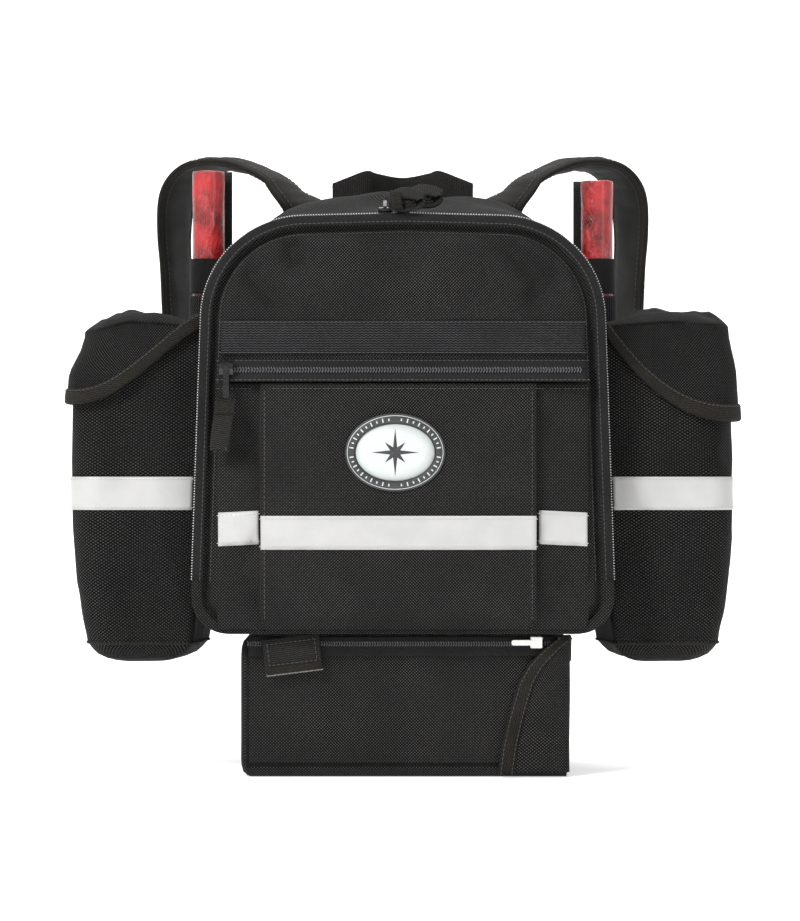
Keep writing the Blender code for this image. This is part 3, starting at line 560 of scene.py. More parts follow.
def fold(points, start, end, width, depth, ends=0.35):
    """Depth of a soft crease along a line in X and Z: deepest on the line, and gone at this width from it."""
    a, b = np.array(start), np.array(end)
    flat = np.stack([points[..., 0], points[..., 2]], axis=-1) - a
    line = b - a
    length = np.linalg.norm(line)
    along = (flat @ line) / length**2
    away = np.abs(flat[..., 0] * line[1] - flat[..., 1] * line[0]) / length
    fade = np.clip(np.minimum(along, 1 - along) / ends + 0.0, 0, 1)
    return depth * np.exp(-((away / width) ** 2)) * (fade * fade * (3 - 2 * fade))


def ramp(value, low, high):
    t = np.clip((value - low) / (high - low), 0, 1)
    return t * t * (3 - 2 * t)


# ------------------------------------------------------------------------------------------ the main bag


def rounded_polygon(corners):
    points = []
    for i, (u, v, radius, steps) in enumerate(corners):
        here = Vector((u, v))
        before = (Vector(corners[i - 1][:2]) - here).normalized()
        after = (Vector(corners[(i + 1) % len(corners)][:2]) - here).normalized()
        half_angle = before.angle(after) / 2
        centre = here + (before + after).normalized() * (radius / math.sin(half_angle))
        start = here + before * (radius / math.tan(half_angle)) - centre
        end = here + after * (radius / math.tan(half_angle)) - centre
        first = math.atan2(start.y, start.x)
        sweep_angle = math.remainder(math.atan2(end.y, end.x) - first, 2 * math.pi)
        for k in range(steps + 1):
            angle = first + sweep_angle * k / steps
            points.append((centre.x + radius * math.cos(angle), centre.y + radius * math.sin(angle)))
    return points


def rounded_box(low, high, radius, steps, far_radius=None, far_steps=None):
    """A rectangle with rounded corners. The two corners on its far side may be rounded otherwise."""
    far = (far_radius or radius, far_steps or steps)
    return rounded_polygon([(low[0], low[1], radius, steps), (high[0], low[1], radius, steps),
                            (high[0], high[1], *far), (low[0], high[1], *far)])


def bag_outline(inset=0.0, rear=0.0, count=280):
    """The bag's outline in X and Z from the middle of its foot. rear is 0 at the front and 1 behind."""
    narrower = inset + REAR_NARROWER * rear
    top = BAG_TOP - inset + REAR_HIGHER * rear
    low = BAG_BOTTOM + inset + 0.003 * rear
    half_low = BAG_HALF_BOTTOM - narrower
    half_top = BAG_HALF_TOP - narrower
    foot = max(0.004, FOOT_RADIUS - inset)
    shoulder = max(0.012, SHOULDER_RADIUS - inset - 0.012 * rear)
    corners = [
        (half_low, low, foot, 12),
        (half_top, top, shoulder, 24),
        (0, top + BAG_CROWN, 0.3, 10),
        (-half_top, top, shoulder, 24),
        (-half_low, low, foot, 12),
    ]
    if half_low < 0.05:
        corners = [(x, z, min(r, 0.02), n) for x, z, r, n in corners]
    points = [(0.0, low), *rounded_polygon(corners)]
    return resample(points, count, closed=True)


def at_y(outline, y):
    return np.stack([outline[:, 0], np.full(len(outline), y) if np.isscalar(y) else y, outline[:, 1]],
                    axis=1)


def pushed(ring, amount):
    """A ring of points in X and Z, moved out from its own line by this much."""
    ahead, behind = np.roll(ring, -1, axis=0), np.roll(ring, 1, axis=0)
    tangent = unit(ahead - behind)
    out = np.stack([tangent[:, 2], np.zeros(len(ring)), -tangent[:, 0]], axis=1)
    return ring + out * np.asarray(amount)[:, None]


def bag_body():
    """The bag's sides, top and back, with a lining. The sides sag a little between their seams."""
    depth = np.linspace(0, 1, 27)
    outer, inner = [], []
    for t in depth:
        y = SHELL_FRONT_Y + (SHELL_REAR_Y - 0.0006 - SHELL_FRONT_Y) * t
        base = at_y(bag_outline(0.0035, t), y)
        belly = 0.0022 * math.sin(math.pi * t)
        ripple = 0.0024 * wobble(base, 17, 1) + 0.0008 * wobble(base, 55, 2)
        low_side = ramp(base[:, 2], 0.10, 0.16)
        swell = (belly + ripple * math.sin(math.pi * min(1, 1.15 * t))) * low_side
        crest = ramp(base[:, 2], 0.405, 0.432) * np.exp(-((base[:, 0] / 0.105) ** 4))
        rise = crest * math.sin(math.pi * t**1.3) ** 0.7 * (0.0085 + 0.0060 * wobble(base, 22, 3))
        outer.append(pushed(base, np.minimum(swell, 0.0032) + rise))
        shut = min(y, SHELL_REAR_Y - 0.0036)
        inner.append(at_y(bag_outline(0.0070, t), shut))
    back = [at_y(bag_outline(0.0035 + d, 1.0), SHELL_REAR_Y - 0.0002) for d in (0.002, 0.02, 0.05, 0.09)]
    lining_back = [at_y(bag_outline(0.0070 + d, 1.0), SHELL_REAR_Y - 0.0037) for d in (0.02, 0.05, 0.09)]
    grid = np.array(list(reversed(back)) + list(reversed(outer)) + inner + lining_back)
    uv = np.stack([grid[..., 0] * 0.9 + grid[..., 1] * 1.1, grid[..., 2] + grid[..., 1] * 0.35], axis=-1)
    rings("bag_body", grid, "nylon_shaded", "pack", uv, sharp=50, slot="pack_cloth",
          stands_for=["main_shell"])


def zip_line(inset, y, end_z=ZIP_END_Z):
    """The bag's outline without its foot, from the right end of the zip over the top to the left end."""
    ring = bag_outline(inset, 0.0, 900)
    keep = ring[ring[:, 1] > end_z]
    return at_y(keep, y)


# Soft folds by their start and end in X and Z, width and depth.
LID_FOLDS = [
    ((-0.089, 0.432), (-0.074, 0.372), 0.010, 0.0130),
    ((-0.128, 0.392), (-0.082, 0.350), 0.010, 0.0100),
    ((0.050, 0.436), (0.112, 0.362), 0.010, 0.0100),
    ((0.128, 0.402), (0.090, 0.346), 0.009, 0.0090),
    ((-0.045, 0.432), (0.022, 0.366), 0.013, 0.0072),
]


def lid_surface(inset, x, z):
    """Depth of the front panel's face: a flat border, a groove, and cloth that swells inside them."""
    border = -0.0893
    groove = 0.0046 * ramp(inset, 0.0080, 0.0098) * (1 - ramp(inset, 0.0112, 0.0160))
    rise = ramp(inset, 0.0118, 0.0225)
    upper = ramp(z, 0.340, 0.372)
    points = np.stack([x, np.zeros_like(x), z], axis=-1)
    puff = 0.0026 + 0.0056 * upper * np.exp(-((x / 0.115) ** 2) * 0.5)
    crease = sum(fold(points, *line) for line in LID_FOLDS)
    ripple = 0.0026 * wobble(points, 16, 4) + 0.0011 * wobble(points, 42, 5)
    swell = rise * (puff - crease * (0.35 + 0.65 * rise) + ripple * (0.3 + 0.7 * upper))
    return border + groove - swell


def lid_panel():
    insets = [0, 0.0008, 0.002, 0.005, 0.0075, 0.0085, 0.0096, 0.0107, 0.0118, 0.0128, 0.0140, 0.0152,
              0.0165]
    insets += [0.0185, 0.021, 0.024, 0.0275, 0.031, *np.linspace(0.035, 0.117, 26)]
    face = []
    for d in insets:
        outline = bag_outline(d)
        y = lid_surface(np.full(len(outline), d), outline[:, 0], outline[:, 1])
        y = y + (0.0012 if d == 0 else 0.0)
        face.append(at_y(outline, y))
    rim = [at_y(bag_outline(0.0), LID_BACK_Y), at_y(bag_outline(0.0035), LID_BACK_Y)]
    behind = [at_y(bag_outline(d), LID_BACK_Y - 0.0001) for d in (0.0036, 0.0170)]
    behind += [at_y(bag_outline(d), -0.0866) for d in (0.024, 0.05, 0.09, 0.117)]
    grid = np.array(list(reversed(face)) + rim + behind)
    uv = np.stack([grid[..., 0], grid[..., 2]], axis=-1)
    rings("lid_panel", grid, "nylon", "lid", uv, slot="ballistic_nylon", stands_for=["front_panel"])


def main_zip():
    """Both halves of the main zip: woven tapes, stitching, and the coil that runs round the bag's outline."""
    border = zip_line(0.0044, -0.0898)[::6]
    sweep("lid_zip_tape", border, inward_of(border), flat_section(0.0078, 0.0011), "zip_tape", "lid",
          slot="zip_tape", stands_for=["zip_tape_lid"])
    for name, inset in (("outer", 0.0062), ("inner", 0.0142)):
        line = zip_line(inset, -0.0905)[::4]
        if name == "inner":
            line[:, 1] = lid_surface(np.full(len(line), inset), line[:, 0], line[:, 2]) - 0.0001
        stitched("lid_zip_stitch_" + name, line, -BACK, "lid", lift=0.0001)
    shell_tape = zip_line(0.0022, -0.0735)[::6]
    sweep("shell_zip_tape", shell_tape, np.tile(BACK, (len(shell_tape), 1)), flat_section(0.0100, 0.0011),
          "zip_tape", "pack", slot="zip_tape", stands_for=["zip_tape_shell"])
    coil = zip_line(-0.0003, -0.0822)
    beads("lid_zip_teeth", coil, outward_of(coil), 0.0020, (0.0010, 0.0018, 0.0016), "coil_edge", "lid",
          slot="zip_tape")
    coil = zip_line(0.0001, -0.0800)
    beads("shell_zip_teeth", coil, outward_of(coil), 0.0020, (0.0010, 0.0018, 0.0014), "coil_edge", "pack",
          slot="zip_tape")


def outward_of(path):
    """Directions out from the bag's outline at points on it, in X and Z."""
    tangent = unit(np.gradient(path, axis=0))
    out = np.stack([tangent[:, 2], np.zeros(len(path)), -tangent[:, 0]], axis=1)
    middle = np.array((0, 0, 0.26))
    flat = path - middle
    flat[:, 1] = 0
    sign = np.sign(np.sum(out * flat, axis=1, keepdims=True))
    return out * sign


def inward_of(path):
    return -outward_of(path)


# ------------------------------------------------------------------------------------------ the front pocket

POCKET_FRONT_Y = -0.104
POCKET_Z = (0.1125, 0.2975)


FACE_SHIFT = 0.0072


def pocket_profile():
    """The pocket's section from side to side: a bellows, a sharp fold, the face, a fold and a bellows."""
    half = [
        (0.1400, -0.0911), (0.1382, -0.0921), (0.1330, -0.0938), (0.1270, -0.0952), (0.1200, -0.0963),
        (0.1130, -0.0971), (0.1070, -0.0975), (0.1030, -0.0977), (0.1012, -0.0981), (0.1008, -0.0990),
        (0.1016, -0.1003), (0.1028, -0.1015), (0.1034, -0.1027), (0.1030, -0.1037), (0.1015, -0.1041),
        (0.0990, -0.1041), (0.0950, -0.1039), (0.0880, -0.1038),
    ]
    face = [(x, -0.1038) for x in np.linspace(0.080, -0.080, 41)]
    return np.array([(aside(x), y) for x, y in half + face + [(-x, y) for x, y in reversed(half)]])


def aside(x):
    """The pocket's face sits a little to one side of its bellows."""
    return x - FACE_SHIFT * (1 - (x / 0.140) ** 2)


POCKET_FOLDS = [
    ((-0.116, 0.294), (-0.108, 0.225), 0.005, 0.0060),
    ((0.110, 0.292), (0.122, 0.225), 0.006, 0.0046),
    ((-0.134, 0.182), (-0.104, 0.118), 0.0055, 0.0064),
    ((-0.104, 0.190), (-0.134, 0.140), 0.0045, 0.0050),
    ((-0.136, 0.262), (-0.104, 0.236), 0.0045, 0.0044),
    ((0.134, 0.186), (0.106, 0.118), 0.0055, 0.0060),
    ((0.106, 0.180), (0.134, 0.136), 0.0045, 0.0046),
    ((0.136, 0.270), (0.106, 0.232), 0.0045, 0.0044),
]
POCKET_FACE_FOLDS = [
    ((-0.090, 0.186), (-0.040, 0.116), 0.009, 0.0040),
    ((0.094, 0.182), (0.056, 0.116), 0.009, 0.0036),
]


def pocket_depth(x, y, z):
    """Depth of the pocket's cloth: full at its middle, closed at its foot, leaning back to its zip."""
    points = np.stack([x, y, z], axis=-1)
    foot = ramp(z, POCKET_Z[0], POCKET_Z[0] + 0.016) ** 0.7
    head = ramp(POCKET_Z[1] - z, 0, 0.010)
    centre = np.clip(1 - (np.abs(x) / 0.1035) ** 4, 0, 1)
    swell = 0.0010 * centre * np.sin(math.pi * np.clip((z - 0.12) / 0.16, 0, 1))
    loose = 1 + 1.6 * ramp(np.abs(x), 0.100, 0.112)
    ripple = (0.0010 * wobble(points, 20, 9) + 0.0005 * wobble(points, 60, 10)) * loose
    crease = sum(fold(points, *line) for line in POCKET_FOLDS)
    for line in POCKET_FACE_FOLDS:
        crease = crease + 0.7 * fold(points, *line) * foot
    face = -0.0912 + (y + 0.0912) * (0.12 + 0.88 * foot) * (0.80 + 0.20 * head)
    return np.minimum(face - swell * foot - ripple * foot * 0.8 + crease * foot, -0.0908)


def front_pocket():
    profile = pocket_profile()
    rows = np.concatenate([np.linspace(POCKET_Z[0], 0.130, 10)[:-1], np.linspace(0.130, 0.288, 34)])
    rows = np.concatenate([rows, np.linspace(0.288, POCKET_Z[1], 7)[1:]])
    z = np.repeat(rows[:, None], len(profile), axis=1)
    narrow = 1 - 0.016 * ramp(0.13 - z, 0, 0.018) ** 2
    x = profile[None, :, 0] * narrow
    y = pocket_depth(x, np.repeat(profile[None, :, 1], len(rows), axis=0), z)
    grid = np.stack([x, y, z], axis=-1)
    uv = np.stack([x, z], axis=-1)
    shell("pocket_front", grid, 0.0016, "nylon", "lid", uv, flip=True, slot="ballistic_nylon",
          stands_for=["pocket_panel"])
    hem = np.array([(x, -0.1022 + 0.0002, 0.2968) for x in np.linspace(-0.1385, 0.1385, 60)])
    hem[:, 1] = pocket_depth(hem[:, 0], np.where(np.abs(hem[:, 0]) < 0.1035, -0.1040, -0.0965),
                             hem[:, 2]) - 0.0006
    stitched("pocket_hem_stitch", hem - UP * 0.0035, -BACK, "lid", lift=0.0002)
    for side, name in ((-1, "left"), (1, "right")):
        line = np.array([(aside(side * 0.1000), 0.0, z) for z in np.linspace(0.122, 0.290, 40)])
        line[:, 1] = pocket_depth(line[:, 0], np.full(len(line), -0.1041), line[:, 2])
        stitched("pocket_fold_stitch_" + name, line, -BACK, "lid", lift=0.0001, pitch=0.004)


def pocket_zip():
    """The slanted zip across the pocket's mouth: two tapes, a double coil, and end stitching."""
    tilt = math.radians(33)
    down = np.array((0.0, -math.sin(tilt), -math.cos(tilt)))
    out = np.array((0.0, -math.cos(tilt), math.sin(tilt)))
    middle = np.array((0.0, -0.0978, 0.3066))
    xs = np.linspace(-0.1385, 0.1385, 48)
    for name, offset, width in (("upper", -0.0060, 0.0078), ("lower", 0.0060, 0.0078)):
        path = middle + down * offset + RIGHT * xs[:, None] + out * 0.0004
        path = path + out * (0.0003 * wobble(path, 30, 12))[:, None]
        sweep("pocket_zip_tape_" + name, path, np.tile(down, (len(path), 1)), flat_section(width, 0.0010),
              "zip_tape", "lid", slot="zip_tape")
    backing = middle + RIGHT * xs[:, None] - out * 0.0004
    sweep("pocket_zip_backing", backing, np.tile(down, (len(backing), 1)), flat_section(0.0188, 0.0008),
          "zip_tape", "lid", slot="zip_tape", stands_for=["pocket_zip_tape"])
    run = np.linspace(-0.1300, 0.1330, 60)
    for name, offset, slant in (("upper", -0.00115, 0.55), ("lower", 0.00115, -0.55)):
        path = middle + down * offset + RIGHT * run[:, None] + out * 0.0012
        beads("pocket_zip_coil_" + name, path, np.tile(out, (len(path), 1)), 0.0021,
              (0.0011, 0.0026, 0.0016), "coil", "lid", slant=slant, slot="zip_tape")
    for name, offset in (("upper", -0.0088), ("lower", 0.0088)):
        path = middle + down * offset + RIGHT * xs[:, None] + out * 0.0010
        stitched("pocket_zip_stitch_" + name, path, np.tile(out, (len(path), 1)), "lid")


def loop_strip():
    low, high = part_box("loop_strip")
    z = (low[2] + high[2]) / 2 + 0.0018
    path = np.array([(x, -0.0928, z) for x in np.linspace(low[0], high[0], 60)])
    path[:, 1] -= 0.0005 * wobble(path, 25, 14)
    sweep("loop_tape", path, np.tile(UP, (len(path), 1)), flat_section(high[2] - low[2], 0.0016, 8),
          "loop_tape", "lid", slot="webbing", stands_for=["loop_strip"])
    for name, offset in (("upper", 0.0114), ("lower", -0.0114)):
        stitched("loop_tape_stitch_" + name, path + UP * offset - BACK * 0.0008, -BACK, "lid")


def badge():
    """An oval rubber badge: a raised dark ring with a dial of small pale marks, and a star in its field."""
    low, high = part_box("badge")
    cx, cz = (low[0] + high[0]) / 2 - 0.0018, (low[2] + high[2]) / 2 + 0.0012
    hx, hz = (high[0] - low[0]) / 2, (high[2] - low[2]) / 2
    back, front = POCKET_FRONT_Y - 0.0002, low[1] + 0.0002
    turn = np.linspace(0, 2 * math.pi, 97)[:-1]

    def oval(inset, y):
        return np.stack(
            [cx + (hx - inset) * np.cos(turn), np.full(len(turn), y), cz + (hz - inset) * np.sin(turn)],
            axis=1
        )

    def band(name, inner, outer, top, material, **more):
        grid = np.array(
            [oval(inner, back), oval(inner, top + 0.0002), oval(inner - 0.0002, top),
             oval(outer + 0.0003, top), oval(outer, top + 0.0003), oval(outer, back)]
        )
        rings(name, grid, material, "lid", joined=True, slot="badge_rubber", **more)

    band("badge_edge", 0.0014, 0.0, front + 0.0001, "badge_dark", stands_for=["badge"])
    band("badge_outer_line", 0.0020, 0.00145, front, "badge_pale")
    band("badge_ring", 0.0072, 0.00205, front + 0.0003, "badge_ring")
    band("badge_inner_line", 0.0079, 0.00725, front, "badge_dark")
    field = np.array([oval(0.0080, back), oval(0.0080, front + 0.0006), oval(hz * 0.6, front + 0.0005)])
    rings("badge_field", field, "badge_pale", "lid", slot="badge_rubber")
    middle = 0.0046
    points, faces = [], []
    for mark in range(44):
        if mark % 11 == 0:
            continue
        angle = 2 * math.pi * mark / 44
        x, z = cx + (hx - middle) * math.cos(angle), cz + (hz - middle) * math.sin(angle)
        centre = np.array((x, front + 0.0001, z))
        out = unit(np.array((math.cos(angle) / hx, 0, math.sin(angle) / hz)))
        tall = 0.0030 if mark % 2 else 0.0018
        across = np.array((-out[2], 0, out[0]))
        base = len(points)
        for y in (0.0003, -0.0002):
            for a, b in ((-1, -1), (1, -1), (1, 1), (-1, 1)):
                points.append(centre + out * a * tall / 2 + across * b * 0.00045 + BACK * y)
        faces += [tuple(base + k for k in f) for f in ((0, 1, 2, 3), (7, 6, 5, 4), (0, 4, 5, 1),
                                                       (1, 5, 6, 2))]
        faces += [tuple(base + k for k in f) for f in ((2, 6, 7, 3), (3, 7, 4, 0))]
    piece("badge_marks", points, faces, "badge_pale", "lid", slot="badge_rubber", sharp=30)
    star("badge_star", cx, front, cz)


def star(name, cx, y, cz):
    """A compass star of eight points, each with a raised ridge down its middle."""
    points = [(cx, y - 0.0001, cz)]
    for k in range(16):
        angle = math.pi / 2 + 2 * math.pi * k / 16
        reach = (0.0180, 0.0042, 0.0110, 0.0042)[k % 4]
        points.append((cx + reach * math.cos(angle), y + 0.0005, cz + reach * math.sin(angle)))
    faces = [(0, k, k % 16 + 1) for k in range(1, 17)]
    points += [(x, y + 0.0012, z) for x, _, z in points[1:17]]
    faces += [(k, k + 16, (k % 16) + 17, (k % 16) + 1) for k in range(1, 17)]
    faces.append(tuple(range(17, 33)))
    piece(name, points, faces, "badge_dark", "lid", slot="badge_rubber", sharp=5)


def reflective_tapes():
    """The bands across the pocket and on its bellows, each sewn along both edges."""
    low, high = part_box("pocket_tape_centre")
    levels = np.linspace(high[2], low[2], 7)
    xs = aside(np.linspace(-0.1030, 0.1030, 60))
    cloth_band("pocket_band_centre", [pocket_line(xs, -0.1042, z) for z in levels], "lid",
               "pocket_tape_centre")
    for side, name in ((-1, "left"), (1, "right")):
        xs = aside(side * np.linspace(0.1050, 0.1385, 16))
        xs = xs if side > 0 else xs[::-1]
        slope = 0.004 - 0.05 * (np.abs(xs) - 0.104)
        rows = [pocket_line(xs, None, z + slope) for z in levels]
        cloth_band("pocket_band_" + name, rows, "lid", "pocket_tape_" + name)


def pocket_line(xs, y, z):
    """Points on the pocket's cloth at these places. With no y they lie on its bellows."""
    if y is None:
        y = np.interp(np.abs(xs), [0.1030, 0.1130, 0.1270, 0.1382], [-0.0979, -0.0973, -0.0954, -0.0923])
    y = np.full(len(xs), y) if np.isscalar(y) else y
    z = np.full(len(xs), z) if np.isscalar(z) else z
    return np.stack([xs, pocket_depth(xs, y, z) - 0.0008, z], axis=1)


def cloth_band(name, rows, body, node):
    """Reflective tape that follows the cloth under it. Its rows run from its upper edge down."""
    grid = np.array(rows)
    flip = normals_of(grid)[3, grid.shape[1] // 3] @ (grid[3, grid.shape[1] // 3] * (1, 1, 0)) < 0
    uv = grid_uv(grid)
    shell(name, grid, 0.0009, "tape", body, uv, flip=flip, slot="reflective_tape", stands_for=[node])
    out = normals_of(grid) * (-1 if flip else 1)
    for edge, row, other in (("upper", 0, 1), ("lower", -1, -2)):
        line = grid[row] * 0.45 + grid[other] * 0.55
        stitched(f"{name}_stitch_{edge}", line, out[row], body, pale=True, pitch=0.0030)


# ------------------------------------------------------------------------------------------ side pouches

POUCH_OUTER_X = 0.2525
POUCH_FRONT_Y = -0.058
POUCH_REAR_Y = 0.030
POUCH_RADIUS = 0.026
POUCH_TAPE_Z = 0.2145


def bag_side(y, z):
    up = (max(z, BAG_BOTTOM + FOOT_RADIUS) - BAG_BOTTOM) / (BAG_TOP - BAG_BOTTOM)
    back = (y - SHELL_FRONT_Y) / (SHELL_REAR_Y - SHELL_FRONT_Y)
    return BAG_HALF_BOTTOM + (BAG_HALF_TOP - BAG_HALF_BOTTOM) * up - 0.0035 - REAR_NARROWER * back


def pouch_outline(side, z, inset=0.0, grown=0.0, count=120):
    """The pouch's plan at this height, from the middle of its inner wall, as rows of X and Y."""
    radius = max(0.006, POUCH_RADIUS - 0.6 * inset)
    front, rear = POUCH_FRONT_Y + inset - grown, POUCH_REAR_Y - inset + grown
    outside = POUCH_OUTER_X - inset + grown
    inner_front = bag_side(front, z) + 0.0012 + inset
    inner_rear = bag_side(rear, z) + 0.0012 + inset
    corners = [(inner_front, front, 0.004, 3), (outside, front, radius, 9), (outside, rear, radius, 9),
               (inner_rear, rear, 0.004, 3)]
    start = ((inner_front + inner_rear) / 2, (front + rear) / 2)
    ring = resample([start, *rounded_polygon(corners)], count, closed=True)
    ring[:, 0] *= side
    return ring


def at_z(outline, z):
    return np.stack([outline[:, 0], outline[:, 1], np.full(len(outline), z) if np.isscalar(z) else z],
                    axis=1)


def crown(x, height):
    share = np.clip((np.abs(x) - 0.145) / (POUCH_OUTER_X - 0.145), 0, 1)
    return height + 0.0065 * share


def swollen(ring, amount, side):
    """A ring in X and Y, moved out from its own line."""
    tangent = unit(np.roll(ring, -1, axis=0) - np.roll(ring, 1, axis=0))
    out = np.stack([tangent[:, 1], -tangent[:, 0], np.zeros(len(ring))], axis=1) * side
    return ring + out * np.asarray(amount)[:, None]


def slumped(points, side):
    """The pouch's mouth and hood, with their outer upper corners drawn in and down."""
    points = np.array(points, float)
    outer = ramp(np.abs(points[..., 0]), 0.200, 0.2525)
    amount = 1.0 if side < 0 else 0.55
    x, z = points[..., 0].copy(), points[..., 2].copy()
    points[..., 0] = x - side * 0.0125 * amount * outer * ramp(z, 0.305, 0.347)
    points[..., 2] = z - 0.0085 * amount * outer * ramp(z, 0.275, 0.345)
    return points


def pouch_skin(side, z, extra=0.0):
    """The pouch's ring of cloth at one height: full at its middle, drawn in at the foot, softly folded."""
    inset = float(np.interp(z, [0.085, 0.092, 0.100, 0.125, 0.150, 0.190, 0.240, 0.300, 0.3385],
                            [0.026, 0.016, 0.0098, 0.0062, 0.0035, 0.0006, 0.0, 0.0010, 0.0024]))
    base = at_z(pouch_outline(side, z, inset), z)
    free = ramp(np.abs(base[:, 0]), bag_side(0, z) + 0.006, bag_side(0, z) + 0.03)
    seed = 20 if side < 0 else 31
    stretched = base * (1, 1, 0.45)
    folds = 0.0050 * wobble(stretched, 20, seed) + 0.0028 * wobble(base, 40, seed + 1)
    folds = folds - 0.0016 * ramp(z, 0.22, 0.33) * (wobble(stretched, 60, seed + 2) ** 2)
    belly = 0.0012 * math.sin(math.pi * min(1, max(0, (z - 0.10) / 0.24)))
    limit = np.clip(folds * ramp(z, 0.088, 0.13) + belly, -0.0060, 0.0018) + extra
    return swollen(base, limit * free, side)


def side_pouch(side, name):
    levels = np.concatenate([[0.3385, 0.336], np.linspace(0.330, 0.106, 46),
                             [0.1015, 0.1000, 0.0985, 0.095, 0.091]])
    outer = [pouch_skin(side, z) for z in levels]
    outer[0][:, 2] = crown(outer[0][:, 0], 0.3385)
    outer[1][:, 2] = crown(outer[1][:, 0], 0.3360)
    foot = []
    for share in (0.35, 0.6, 0.85, 1.0):
        ring = at_z(pouch_outline(side, 0.09, 0.016 + 0.024 * share),
                    0.091 - 0.0062 * math.sin(share * math.pi / 2))
        ring[:, 2] += 0.0012 * wobble(ring, 30, 5)
        foot.append(ring)
    inner_levels = (0.3365, 0.30, 0.24, 0.18, 0.125, 0.105, 0.096)
    inner = []
    for z in inner_levels:
        inset = float(np.interp(z, [0.096, 0.125, 0.190, 0.240, 0.3385],
                                [0.017, 0.0105, 0.0045, 0.0040, 0.0064]))
        inner.append(at_z(pouch_outline(side, z, inset), z))
    inner[0][:, 2] = crown(inner[0][:, 0], 0.3375)
    inner.append(at_z(pouch_outline(side, 0.096, 0.036), 0.0955))
    grid = np.array(list(reversed(foot)) + list(reversed(outer)) + inner)
    lengths = np.concatenate([[0], np.cumsum(np.linalg.norm(np.diff(grid[len(foot)], axis=0), axis=1))])
    uv = np.zeros((*grid.shape[:2], 2))
    uv[..., 0] = lengths
    uv[..., 1] = grid[..., 2]
    for i in list(range(len(foot))) + [len(grid) - 1]:
        uv[i] = grid[i][:, :2]
    grid = slumped(grid, side)
    rings("pouch_" + name + "_cloth", grid, "nylon_shaded", "pack", uv, flip=side > 0, slot="ballistic_nylon",
          stands_for=["pouch_" + name])

    seam = pouch_skin(side, 0.1000, 0.0)
    sweep("pouch_seam_" + name, seam, np.tile(UP, (len(seam), 1)), round_section(0.0011, 8), "binding",
          "pack", joined=True, slot="ballistic_nylon")
    rows = []
    for z in np.linspace(POUCH_TAPE_Z + 0.01265, POUCH_TAPE_Z - 0.01265, 9):
        ring = pouch_skin(side, z, 0.0011)
        keep = (np.abs(ring[:, 0]) > 0.1575) & (ring[:, 1] < POUCH_REAR_Y - 0.012)
        rows.append(resample(ring[keep], 70))
    cloth_band("pouch_band_" + name, rows, "pack", "pouch_tape_" + name)


def flap_edge(x):
    """Height of a flap's bound edge. The right flap hangs lower."""
    right = np.asarray(x) > 0
    share = np.clip((np.abs(x) - 0.150) / 0.100, 0, 1) ** np.where(right, 0.56, 0.8)
    return crown(x, 0.3400) - np.where(right, 0.0760, 0.0625) * share * share * (3 - 2 * share)


def flap_ring(side, inset, height, grown=0.0033):
    outline = pouch_outline(side, 0.34, inset, grown)
    return at_z(outline, height(outline[:, 0]))


